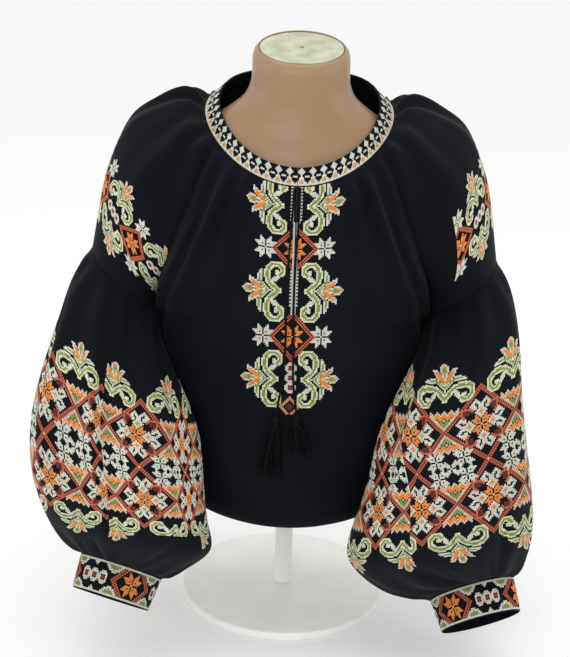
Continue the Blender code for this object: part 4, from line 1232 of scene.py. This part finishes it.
def front_creases(grid):
    """Uneven soft creases of the front, at the listed places."""
    x, z = grid[..., 0], grid[..., 2]
    height = np.zeros(x.shape)
    for top_x, bottom_x, start_z, end_z, width, size in FRONT_CREASES:
        share = np.clip((start_z - z) / (start_z - end_z), 0, 1)
        line = top_x + (bottom_x - top_x) * share
        span = (start_z - end_z) * 0.3
        length = fade(z, end_z - span, end_z + span) * fade(-z, -start_z - span, -start_z + span)
        height += size * bump(x - line, width) * length
    return height


SLEEVE_CREASES = {
    # angle at the top, angle at the bottom, start (0 seam, 1 cuff), end, width in degrees, height
    "right": ((-87.0, -83.0, 0.22, 0.78, 3.6, -6.0), (-79.0, -75.0, 0.20, 0.74, 5.5, 5.0),
              (-118.0, -104.0, 0.05, 0.55, 5.0, -2.4), (-20.0, -30.0, 0.10, 0.60, 5.0, -3.0),
              (-96.0, -84.0, 0.72, 0.97, 5.0, -3.6), (-128.0, -118.0, 0.66, 0.97, 6.0, -3.4),
              (-72.0, -70.0, 0.80, 0.99, 3.0, -2.6), (-58.0, -52.0, 0.84, 0.99, 3.0, -2.2),
              (60.0, 70.0, 0.10, 0.70, 6.0, -3.0), (140.0, 128.0, 0.15, 0.80, 6.0, -3.5)),
    "left": ((-128.0, -122.0, 0.20, 0.66, 4.5, -5.0), (-136.0, -131.0, 0.18, 0.62, 6.0, 4.5),
             (-84.0, -96.0, 0.03, 0.36, 5.0, -2.4), (-50.0, -58.0, 0.58, 0.96, 5.0, -4.0),
             (-80.0, -74.0, 0.70, 0.97, 5.0, -3.4), (-112.0, -98.0, 0.78, 0.98, 6.0, -3.6),
             (-64.0, -62.0, 0.78, 0.99, 3.0, -2.8), (-94.0, -88.0, 0.82, 0.99, 3.0, -2.4),
             (52.0, 66.0, 0.10, 0.70, 6.0, -3.0), (132.0, 120.0, 0.15, 0.80, 6.0, -3.5)),
}


def sleeve_creases(table, angle, along):
    """Uneven troughs and ridges of one lower sleeve, at the listed places."""
    height = np.zeros(angle.shape)
    for top, bottom, start, end, width, size in table:
        share = np.clip((along - start) / (end - start), 0, 1)
        gap = (angle - (top + (bottom - top) * share) + 180.0) % 360.0 - 180.0
        span = (end - start) * 0.3
        length = fade(along, start - 0.02, start + span) * fade(1 - along, 1 - end, 1 - end + span)
        height += size * bump(gap, width) * length
    return height


SLEEVE_SWELL = 7.5       # the cloth of the sleeve rests nearly against the body's side
SIDE_SWELL = 4.5


def swell_sides(grid):
    """Body cloth pushed out a little at the side seams, where the sleeves hang against it."""
    x, z = grid[..., 0], grid[..., 2]
    reach = np.abs(x).max(axis=1, keepdims=True)
    window = fade(z, 290.0, 350.0) * fade(-z, -470.0, -425.0)
    grid[..., 0] = x * (1 + SIDE_SWELL / reach * (np.abs(x) / reach) ** 6 * window)


def lower_surface(word, table):
    lower, angle, along = lower_sleeve_grid(table)
    lift = sleeve_folds(angle, along) + sleeve_creases(SLEEVE_CREASES[word], angle, along)
    swell = SLEEVE_SWELL * bump(180.0 - np.abs(angle), 38.0)
    lift = lift + swell * fade(along, 0.02, 0.12) * fade(1 - along, 0.4, 0.6)
    lower = lower + grid_normals(lower, wrap=True) * lift[..., None]
    return lower, grid_normals(lower, wrap=True), angle


def cuff_surface(table):
    """Cuff at a fine grid: straight on from the lower sleeve's last ring."""
    out, y, z, half_width, half_depth, lean, nod = table[-1]
    lean, nod = math.radians(lean), math.radians(nod)
    side = np.array([math.cos(lean), 0.0, math.sin(lean)])
    back = np.array([0.0, math.cos(nod), -math.sin(nod)])
    axis = np.cross(side, back)
    axis /= -np.linalg.norm(axis)
    turn = np.linspace(-np.pi, np.pi, CUFF_COLUMNS, endpoint=False)[:, None]
    rows = []
    for share in np.linspace(0.0, 1.0, 12):
        size = 1 + (CUFF_TAPER - 1) * share
        centre = np.array([out, y, z]) + axis * (SEAM_GAP + share * CUFF_HEIGHT)
        rows.append(centre + (side * half_width * np.cos(turn) + back * half_depth * np.sin(turn)) * size)
    grid = np.array(rows)
    return grid, grid_normals(grid, wrap=True)


def band_surface():
    """Neck band at a fine grid, rows from its inner edge out to the seam."""
    edge = math.degrees(math.asin(SHELL_SLIT_HALF_GAP / NECK_HALF_WIDTH))
    angle = np.linspace(edge, 360.0 - edge, BAND_COLUMNS)
    turn = np.radians(angle)
    seam = neck_point(angle)
    steep = np.radians(38.0 + 35.0 * np.cos(turn) ** 2)
    radial = np.stack([np.sin(turn), -np.cos(turn), np.zeros_like(turn)], axis=-1)
    upward = np.array([0.0, 0.0, 1.0])
    rise = -radial * np.cos(steep)[:, None] + upward * np.sin(steep)[:, None]
    normal = radial * np.sin(steep)[:, None] + upward * np.cos(steep)[:, None]
    stand = (BAND_WALL - CLOTH_WALL) * 0.5
    grid = np.array([seam + normal * stand + rise * (SEAM_GAP + share * NECK_BAND_WIDTH)
                     for share in np.linspace(1.0, 0.0, 8)])
    return grid, np.array([normal] * 8)


def front_middle():
    """Plain front's middle line: heights and depths, from the hem up."""
    half, _ = body_grid(FRONT_UPPER_ROWS, -1, FRONT_COLUMNS, SLIT_HALF_GAP)
    return half[::-1, 0]


# Embroidery placed on the panels

COLUMN_STEP = 1.79       # millimetres from one stitch to the next across the front
FRONT_DEPTHS = ((0, 0.9), (64, 113.5), (138, 260.0))   # stitch row, millimetres below the neck band
SLEEVE_STEP = 1.85
UPPER_STEP = 1.65        # round the upper sleeve, whose cloth is a little crumpled
UPPER_ROW_STEP = 1.55
SLEEVE_REPEATS = 14
UPPER_REPEATS = 6
SLEEVE_COLUMNS = {
    # stitches outward of the band's middle crossing, millimetres outward of the sleeve's front line.
    # Where the millimetres stand still, a deep fold swallows the stitches.
    "right": ((-42, -115.0), (-21, -94.0), (0, -74.0), (21, -33.0), (42, 0.0), (47, 9.0), (61, 9.5),
              (84, 46.0), (105, 88.0), (126, 127.0)),
    "left": ((-84, -154.0), (-63, -115.0), (-42, -81.0), (-37, -72.5), (-28, -72.0), (-21, -59.0), (0, -20.0),
             (21, 22.0), (42, 68.0), (63, 107.0)),
}
SLEEVE_ROWS = {
    # stitch row, millimetres below the dropped seam, outward lean of the columns, rise per millimetre outward
    "right": ((0, 93.0, -12.0, -0.07), (41, 166.0, 0.0, -0.07),
              (83, 241.0, -8.0, 0.11), (124, 304.0, 4.0, 0.11)),
    "left": ((0, 77.0, -13.0, 0.0), (41, 160.0, 0.0, 0.0), (83, 242.0, 25.0, 0.0), (124, 321.0, 35.0, 0.0)),
}
# first and last column that a low fold hides, and the row below which it does
SLEEVE_TUCK = {"right": (-40, 20, 110), "left": (0, 0, BAND_ROWS)}
UPPER_BAND_AT = {"right": 72.0, "left": 78.0}   # the upper band's middle line above the dropped seam
UPPER_PHASE = {"right": 18.0, "left": 22.0}
UPPER_LEAN = {"right": 0.5, "left": 0.0}   # lean of the columns above the middle line towards the front
UPPER_FOLD = {"right": -200.0, "left": -26.0}   # a front fold hides what lies inward of this place
CUFF_REPEATS = 3
CUFF_PHASE = {"right": -25.0, "left": -35.0}
COLLAR_REPEATS = 50


def row_distances(surface, wrap=False):
    """Distance of every grid point from its row's first one, along the row."""
    return np.array([row_lengths(row, wrap) for row in surface])


def columns_at(lengths, starts, rows, offsets):
    """Fractional columns at distances from each row's start point, blended between grid rows."""
    rows = np.clip(rows, 0, len(lengths) - 1.001)
    lower = np.floor(rows).astype(int)
    blend = rows - lower
    marks = np.arange(lengths.shape[1])
    columns = np.empty(rows.shape)
    for row in np.unique(lower):
        chosen = lower == row
        here = np.interp(starts[row] + offsets[chosen], lengths[row], marks)
        below = np.interp(starts[row + 1] + offsets[chosen], lengths[row + 1], marks)
        columns[chosen] = here * (1 - blend[chosen]) + below * blend[chosen]
    return columns


def front_place(surface, normals):
    """Chart to cloth on the front: columns by length across, rows by length down the middle."""
    middle = FRONT_COLUMNS - 1
    down = distance_down(surface)[:, middle]
    lengths = row_distances(surface)
    starts = (lengths[:, middle] + lengths[:, middle + 1]) / 2

    def place(x, y):
        rows = np.interp(np.interp(y, *np.array(FRONT_DEPTHS).T), down, np.arange(len(down)))
        columns = columns_at(lengths, starts, rows, (x - COLUMN_HALF) * COLUMN_STEP)
        return sample(surface, rows, columns), sample(normals, rows, columns)
    return place


def tube_place(word, surface, normals, side, chart):
    """Chart to cloth on a lower sleeve, by lengths along its rows and down its front line.

    What would run past the underarm line or lies in a fold is taken out of the chart.
    """
    lengths = row_distances(surface, wrap=True)
    starts = lengths[:, surface.shape[1] // 4]
    down = distance_down(surface)[:, surface.shape[1] // 4]
    mirror = np.array([side, 1.0, 1.0])
    middle = chart.shape[1] // 2
    stitches, spots = np.array(SLEEVE_COLUMNS[word]).T
    stitches = np.concatenate([[stitches[0] - 100], stitches, [stitches[-1] + 100]])
    spots = np.concatenate([[spots[0] - 100 * SLEEVE_STEP], spots, [spots[-1] + 100 * SLEEVE_STEP]])
    marks, depths, leans, rises = np.array(SLEEVE_ROWS[word]).T
    tuck_start, tuck_end, tuck_row = SLEEVE_TUCK[word]

    def lay(x, y):
        offset = np.interp(x - middle, stitches, spots)
        depth = np.interp(y, marks, depths) + np.interp(y, marks, rises) * offset
        rows = np.interp(depth, down, np.arange(len(down)))
        return rows, offset + np.interp(y, marks, leans)

    ys, xs = np.mgrid[0:chart.shape[0], 0:chart.shape[1]].astype(float)
    rows, offset = lay(xs, ys)
    nearest = np.clip(np.round(rows).astype(int), 0, len(lengths) - 1)
    place_at = starts[nearest] + offset
    inside = (place_at > SLEEVE_STEP) & (place_at < lengths[nearest, -1] - SLEEVE_STEP)
    after = np.interp(xs - middle + 0.5, stitches, spots)
    before = np.interp(xs - middle - 0.5, stitches, spots)
    folded = after - before < 0.6
    tucked = (xs - middle > tuck_start) & (xs - middle < tuck_end) & (ys > tuck_row)
    chart[~inside | folded | tucked] = 0

    def place(x, y):
        rows, offset = lay(x, y)
        columns = columns_at(lengths, starts, rows, offset)
        point = sample(surface, rows, columns, wrap=True)
        return point * mirror, sample(normals, rows, columns, wrap=True) * mirror
    return place


def ring_place(surface, normals, side, chart, row_at, reference, phase):
    """Chart to cloth round a cuff, stretched to close."""
    lengths = row_lengths(surface[reference], wrap=True)
    count = surface.shape[1]
    front_line = lengths[count // 4]
    width = chart.shape[1]
    mirror = np.array([side, 1.0, 1.0])

    def place(x, y):
        distance = front_line + phase + (x + 0.5) / width * lengths[-1]
        turns = np.floor(distance / lengths[-1])
        columns = np.interp(distance - turns * lengths[-1], lengths, np.arange(count + 1)) + turns * count
        rows = row_at(y)
        point = sample(surface, rows, columns, wrap=True)
        return point * mirror, sample(normals, rows, columns, wrap=True) * mirror
    return place


def open_place(surface, normals, side, chart, row_at, phase, lean, fold_at):
    """Chart to cloth on an upper sleeve, whose ring closes only at its last row. Trims what runs past it."""
    lengths = row_distances(surface)
    count = surface.shape[1]
    starts = lengths[:, count // 4]
    middle = chart.shape[1] // 2
    mirror = np.array([side, 1.0, 1.0])

    def reach(x, y):
        return (x - middle) * UPPER_STEP + phase - lean * UPPER_ROW_STEP * np.maximum(COLUMN_HALF - y, 0.0)

    ys, xs = np.mgrid[0:chart.shape[0], 0:chart.shape[1]].astype(float)
    rows = np.clip(np.round(row_at(ys)).astype(int), 0, len(lengths) - 1)
    place_at = starts[rows] + reach(xs, ys)
    past_edge = (place_at < UPPER_STEP) | (place_at > lengths[rows, -1] - UPPER_STEP)
    chart[past_edge | (reach(xs, ys) < fold_at)] = 0

    def place(x, y):
        rows = row_at(y)
        columns = columns_at(lengths, starts, rows, reach(x, y))
        return sample(surface, rows, columns) * mirror, sample(normals, rows, columns) * mirror
    return place


def build_shirt():
    front, back, upper = shirt_surfaces()
    keep = np.ones((front[0].shape[0] - 1, front[0].shape[1] - 1), bool)
    middle = FRONT_COLUMNS - 1
    keep[front[0][1:, middle, 2] > SLIT_END_Z - 8.0, middle] = False
    cuts = {}
    shell = wall_mesh("front_cloth", *front, SHELL_WALL, CLOTH, keep=keep)
    finish_piece(shell, "black_embroidered_cloth", "front")
    cuts[shell] = panel_cut(front[0])
    shell = wall_mesh("back_cloth", *back, SHELL_WALL, CLOTH)
    finish_piece(shell, "black_cloth", "back")
    cuts[shell] = panel_cut(back[0])
    for item in stitch_mesh("front_embroidery", front_chart(), front_place(*front)):
        finish_piece(item, "black_embroidered_cloth")

    upper_angles = np.linspace(-180.0, 180.0, UPPER_COLUMNS)
    cuff_angles = np.linspace(-180.0, 180.0, CUFF_COLUMNS, endpoint=False)
    for word, side, table in (("right", -1.0, RIGHT_LOWER_SECTIONS), ("left", 1.0, LEFT_LOWER_SECTIONS)):
        mirror = np.array([side, 1.0, 1.0])
        lower, lower_normals, angle = lower_surface(word, table)
        cuff, cuff_normals = cuff_surface(table)
        upper_grid, upper_normals = upper[0], upper[1].copy()
        first, last = lower_normals[0].copy(), lower_normals[-1].copy()
        lower_normals[0] = match_rings(first, angle[0], upper_normals[-1][:-1], upper_angles[:-1])
        upper_normals[-1] = match_rings(upper_normals[-1], upper_angles, first, angle[0])
        lower_normals[-1] = match_rings(last, angle[0], cuff_normals[0], cuff_angles)
        pull_in(lower, rows=((0, 1), (-1, -2)))

        def built(name, grid, normals, thickness, wrap):
            outer, facing = grid * mirror, normals * mirror
            if side < 0:
                outer, facing = outer[:, ::-1], facing[:, ::-1]
            return wall_mesh(name, outer, facing, thickness, CLOTH, wrap=wrap)

        shell = built("upper_sleeve_cloth_" + word, upper_grid, upper_normals, SHELL_WALL, False)
        finish_piece(shell, "black_embroidered_cloth", "upper_sleeve_" + word)
        cuts[shell] = panel_cut(upper_grid)
        shell = built("lower_sleeve_cloth_" + word, lower, lower_normals, SHELL_WALL, True)
        finish_piece(shell, "black_embroidered_cloth", "lower_sleeve_" + word)
        cuts[shell] = panel_cut(lower, wrap=True)
        shell = built("cuff_cloth_" + word, cuff, cuff_normals, BAND_SHELL_WALL, True)
        finish_piece(shell, "black_embroidered_cloth", "cuff_" + word)
        cuts[shell] = panel_cut(cuff, wrap=True)

        chart = np.roll(sleeve_chart(SLEEVE_REPEATS), REPEAT // 2, axis=1)
        place = tube_place(word, lower, lower_normals, side, chart)
        for item in stitch_mesh("lower_sleeve_embroidery_" + word, chart, place, pieces=2):
            finish_piece(item, "black_embroidered_cloth")

        chart = column_chart(UPPER_REPEATS)
        up = distance_down(upper_grid[::-1])[:, UPPER_COLUMNS // 4]
        last_row = len(up) - 1
        base = UPPER_BAND_AT[word] - COLUMN_HALF * UPPER_ROW_STEP

        def upper_row(y):
            return last_row - np.interp(base + (2 * COLUMN_HALF - y) * UPPER_ROW_STEP, up, np.arange(len(up)))
        place = open_place(upper_grid, upper_normals, side, chart, upper_row, UPPER_PHASE[word],
                           UPPER_LEAN[word], UPPER_FOLD[word])
        for item in stitch_mesh("upper_sleeve_embroidery_" + word, chart, place):
            finish_piece(item, "black_embroidered_cloth")

        chart = cuff_chart(CUFF_REPEATS)
        height = distance_down(cuff)[:, 0]

        def cuff_row(y):
            share = (y + 1.0) / (2 * CUFF_HALF + 2.0)
            return np.interp(share * height[-1], height, np.arange(len(height)))
        place = ring_place(cuff, cuff_normals, side, chart, cuff_row, 5, CUFF_PHASE[word])
        for item in stitch_mesh("cuff_embroidery_" + word, chart, place):
            finish_piece(item, "black_embroidered_cloth")

    band, band_normals = band_surface()
    shell = wall_mesh("neck_band_cloth", band, band_normals, BAND_SHELL_WALL, CLOTH)
    finish_piece(shell, "black_embroidered_cloth", "neck_band")
    cuts[shell] = panel_cut(band)
    chart = collar_chart(COLLAR_REPEATS)
    lengths = row_lengths(band[5])

    def collar_place(x, y):
        columns = np.interp((x + 0.5) / chart.shape[1] * lengths[-1], lengths, np.arange(BAND_COLUMNS))
        rows = (y + 0.7) / (len(COLLAR) + 0.4) * 7.0
        return sample(band, rows, columns), sample(band_normals, rows, columns)
    for item in stitch_mesh("neck_band_embroidery", chart, collar_place):
        finish_piece(item, "black_embroidered_cloth")
    return cuts


# Dress form's skin

SKIN_COLUMNS = 112
SKIN_STEPS = 4           # rings worked out between two rows of the form's table


def build_form_skin():
    """Smooth skin of the form through the same rings as its solid, at a finer step."""
    rings = np.array([form_ring(row) for row in FORM_RINGS])
    marks = np.arange(len(rings))
    fine = np.linspace(3, len(rings) - 1, (len(rings) - 4) * SKIN_STEPS + 1)
    body = smooth_through(marks[3:], rings[3:].reshape(len(rings) - 3, -1), fine).reshape(len(fine), -1, 3)
    rings = np.concatenate([rings[:3], body])
    count = rings.shape[1]
    columns = np.concatenate([rings, rings[:, :1]], axis=1)
    place = np.arange(rings.shape[0] * count).reshape(rings.shape[:2])
    place = np.concatenate([place, place[:, :1]], axis=1)
    quads = np.stack([place[:-1, :-1], place[1:, :-1], place[1:, 1:], place[:-1, 1:]], axis=-1).reshape(-1, 4)
    middles = len(rings.reshape(-1, 3)) + np.array([0, 1])
    ends = [np.stack([np.full(count, middles[0]), place[0, :-1], place[0, 1:]], axis=-1),
            np.stack([np.full(count, middles[1]), place[-1, 1:], place[-1, :-1]], axis=-1)]
    triangles = np.concatenate([quads[:, [0, 1, 2]], quads[:, [0, 2, 3]]] + ends)
    points = np.concatenate([rings.reshape(-1, 3), rings[[0, -1]].mean(axis=1)])
    item = link_mesh("dress_form_skin", points, triangles, [FORM])
    item.data.set_sharp_from_angle(angle=math.radians(50))
    finish_piece(item, "form_plastic", "dress_form")


# Cords and tassels

def cord_line(route):
    table = np.array(route)[::-1]
    z = np.linspace(table[0, 0], table[-1, 0], CORD_POINTS)
    x = smooth_through(table[:, 0], table[:, 1], z)
    middle = front_middle()
    y = np.interp(z, middle[:, 2], middle[:, 1]) - CORD_DIAMETER / 2 - CORD_STANDOFF
    return np.stack([x, y, z], axis=-1)[::-1]


def build_cord(name, route, node):
    points = cord_line(route)
    curve = bpy.data.curves.new(name, "CURVE")
    curve.dimensions = "3D"
    curve.bevel_depth = CORD_DIAMETER / 2 * MM
    curve.bevel_resolution = 4
    curve.use_fill_caps = True
    spline = curve.splines.new("POLY")
    spline.points.add(len(points) - 1)
    for spot, point in zip(spline.points, points):
        spot.co = (*(point * MM), 1.0)
    curve.materials.append(CORD)
    item = bpy.data.objects.new(name, curve)
    bpy.context.scene.collection.objects.link(item)
    finish_piece(item, "black_cord", node)
    return item, points


TASSEL_STRANDS = 96
STRAND_RADIUS = 0.55


def tassel_place(route):
    """Middle of a tassel's head from its cord's end: x, y, top and bottom."""
    end = cord_line(route)[-1]
    top = end[2] - SEAM_GAP
    bottom = top - TASSEL_HEAD_HEIGHT
    middle = front_middle()
    centre_y = np.interp(bottom, middle[:, 2], middle[:, 1]) - TASSEL_HEAD_RADIUS - CORD_STANDOFF
    return end[0], min(centre_y, end[1]), top, bottom


HEAD_SIDES = 24
HEAD_RINGS = 16


def build_head(name, route, node):
    """Wound head of a tassel, closed at both ends."""
    x, y, top, _ = tassel_place(route)
    turn = np.linspace(0, 2 * np.pi, HEAD_SIDES, endpoint=False)
    profile = smooth_through(np.arange(len(TASSEL_PROFILE)), np.array(TASSEL_PROFILE),
                             np.linspace(0, len(TASSEL_PROFILE) - 1, HEAD_RINGS))
    points, faces = [], []
    for drop, size in profile:
        radius = TASSEL_HEAD_RADIUS * size * (1 + 0.03 * np.cos(turn * 12))
        points += list(np.stack([x + radius * np.cos(turn), y + radius * np.sin(turn),
                                 np.full(HEAD_SIDES, top - drop * TASSEL_HEAD_HEIGHT)], axis=-1))
    for ring in range(HEAD_RINGS - 1):
        for k in range(HEAD_SIDES):
            after = (k + 1) % HEAD_SIDES
            low = (ring + 1) * HEAD_SIDES
            faces.append((ring * HEAD_SIDES + k, low + k, low + after, ring * HEAD_SIDES + after))
    faces.append(tuple(range(HEAD_SIDES)))
    faces.append(tuple(reversed(range((HEAD_RINGS - 1) * HEAD_SIDES, HEAD_RINGS * HEAD_SIDES))))
    return finish_piece(face_mesh(name, points, faces), "black_thread", node)


def build_strands(name, route, length, spread, sway, node):
    """Many thin strands that fan out below a tassel's head."""
    x, y, _, bottom = tassel_place(route)
    draw = np.random.default_rng(7)
    points, faces = [], []
    for number in range(TASSEL_STRANDS):
        radius = TASSEL_HEAD_RADIUS * 0.95 * math.sqrt((number + 0.5) / TASSEL_STRANDS)
        angle = number * GOLDEN_ANGLE
        root = np.array([radius * math.cos(angle), radius * math.sin(angle)])
        tip = np.array([root[0] * spread + sway, root[1] * (1 + (spread - 1) * TASSEL_FLAT) - TASSEL_LIFT])
        wobble = draw.normal(0.0, 0.8, 2)
        drop = length * (0.80 + 0.20 * draw.random())
        base = len(points)
        for step in range(STRAND_STEPS):
            share = step / (STRAND_STEPS - 1)
            across = root + (tip - root) * share ** 0.8 + wobble * math.sin(share * 5.0) * share
            centre = np.array([x + across[0], y + across[1], bottom + 0.5 - drop * share])
            for corner in range(3):
                lean = 2 * math.pi / 3 * corner + number
                points.append(centre + STRAND_RADIUS * np.array([math.cos(lean), math.sin(lean), 0.0]))
        for step in range(STRAND_STEPS - 1):
            for corner in range(3):
                after = (corner + 1) % 3
                low = base + step * 3
                faces.append((low + corner, low + 3 + corner, low + 3 + after, low + after))
        last = base + (STRAND_STEPS - 1) * 3
        faces.append((base, base + 1, base + 2))
        faces.append((last + 2, last + 1, last))
    return finish_piece(face_mesh(name, points, faces), "black_thread", node)


GOLDEN_ANGLE = 2.39996
STRAND_STEPS = 6


def face_mesh(name, points, faces):
    """Smooth mesh of tassel thread from points in millimetres and faces of any size."""
    mesh = bpy.data.meshes.new(name)
    mesh.from_pydata((np.array(points) * MM).tolist(), [], faces)
    mesh.validate()
    mesh.shade_smooth()
    mesh.set_sharp_from_angle(angle=math.radians(60))
    mesh.materials.append(TASSEL)
    item = bpy.data.objects.new(name, mesh)
    bpy.context.scene.collection.objects.link(item)
    return item


# Camera and cords come first

CAMERA_TARGET = Vector((-0.008, 0.0, 0.350))
CAMERA_DISTANCE = 1.5
CAMERA_PITCH = 18.0
CAMERA_ROLL = 2.0
FOCAL_PIXELS = 1240.0
PICTURE_HEIGHT = 657.0


def set_camera():
    pitch, roll = math.radians(CAMERA_PITCH), math.radians(CAMERA_ROLL)
    forward = Vector((0.0, math.cos(pitch), -math.sin(pitch)))
    level_right = Vector((1.0, 0.0, 0.0))
    level_up = level_right.cross(forward)
    right = level_right * math.cos(roll) + level_up * math.sin(roll)
    up = level_up * math.cos(roll) - level_right * math.sin(roll)
    camera = bpy.data.objects.new("camera", bpy.data.cameras.new("camera"))
    axes = Matrix((right, up, -forward)).transposed().to_4x4()
    camera.matrix_world = Matrix.Translation(CAMERA_TARGET - forward * CAMERA_DISTANCE) @ axes
    camera.data.sensor_fit = "VERTICAL"
    camera.data.sensor_height = 24.0
    camera.data.lens = 24.0 * FOCAL_PIXELS / PICTURE_HEIGHT
    bpy.context.scene.collection.objects.link(camera)
    bpy.context.scene.camera = camera


def add_light(name, place, target, size, power, colour=(1.0, 1.0, 1.0)):
    light = bpy.data.lights.new(name, "AREA")
    light.shape = "RECTANGLE"
    light.size, light.size_y = size
    light.energy = power
    light.color = colour
    item = bpy.data.objects.new(name, light)
    item.location = place
    item.rotation_euler = (Vector(target) - Vector(place)).to_track_quat("-Z", "Y").to_euler()
    bpy.context.scene.collection.objects.link(item)


FLOOR_SIZE = 60.0        # metres, so its far edge is out of the picture
FLOOR_GAP = 0.0005       # metres between the floor and the stand's foot


def set_stage():
    """Pale floor that meets a white surround, and soft light from the front, both sides and above."""
    bpy.ops.mesh.primitive_plane_add(size=FLOOR_SIZE, location=(0.0, 0.0, -FLOOR_GAP))
    floor = bpy.context.object
    floor.name = "floor"
    material, tree, shader = node_material("floor_white", (0.93, 0.93, 0.93), 0.9)
    floor.data.materials.append(material)
    world = bpy.data.worlds.new("surround")
    world.use_nodes = True
    world.node_tree.nodes["Background"].inputs["Color"].default_value = (1.0, 1.0, 1.0, 1.0)
    world.node_tree.nodes["Background"].inputs["Strength"].default_value = 1.0
    bpy.context.scene.world = world
    bpy.context.scene.view_settings.view_transform = "Standard"
    centre = (0.0, 0.0, 0.35)
    add_light("front_softbox", (-0.5, -2.2, 1.5), centre, (1.6, 1.2), 11.0)
    add_light("side_softbox", (2.0, -0.6, 1.2), centre, (1.0, 1.4), 5.5)
    add_light("other_side_softbox", (-2.1, -0.4, 1.0), centre, (1.0, 1.4), 4.5)
    add_light("top_softbox", (0.0, 0.3, 2.2), centre, (1.4, 1.4), 6.5)


set_camera()
build_form_skin()
ROUTES = {"right": RIGHT_CORD_ROUTE, "left": LEFT_CORD_ROUTE}
for tassel_name, cord_word, strand_length, strand_spread, strand_sway in TASSELS:
    cord_item, cord_path = build_cord("tie_cord_thread_" + cord_word, ROUTES[cord_word],
                                      "tie_cord_" + cord_word)
    head_item = build_head("tassel_head_" + cord_word, ROUTES[cord_word], tassel_name)
    build_strands("tassel_strands_" + cord_word, ROUTES[cord_word], strand_length, strand_spread, strand_sway,
                  tassel_name)

for cloth_item, (cut_width, cut_length, cut_area) in build_shirt().items():
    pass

for node_name, finish in (("neck_cap", PLATE), ("stand_foot", PAINT), ("stand_pole", PAINT)):
    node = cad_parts[node_name]
    for slot_number in range(len(node.material_slots)):
        node.material_slots[slot_number].material = finish

set_stage()
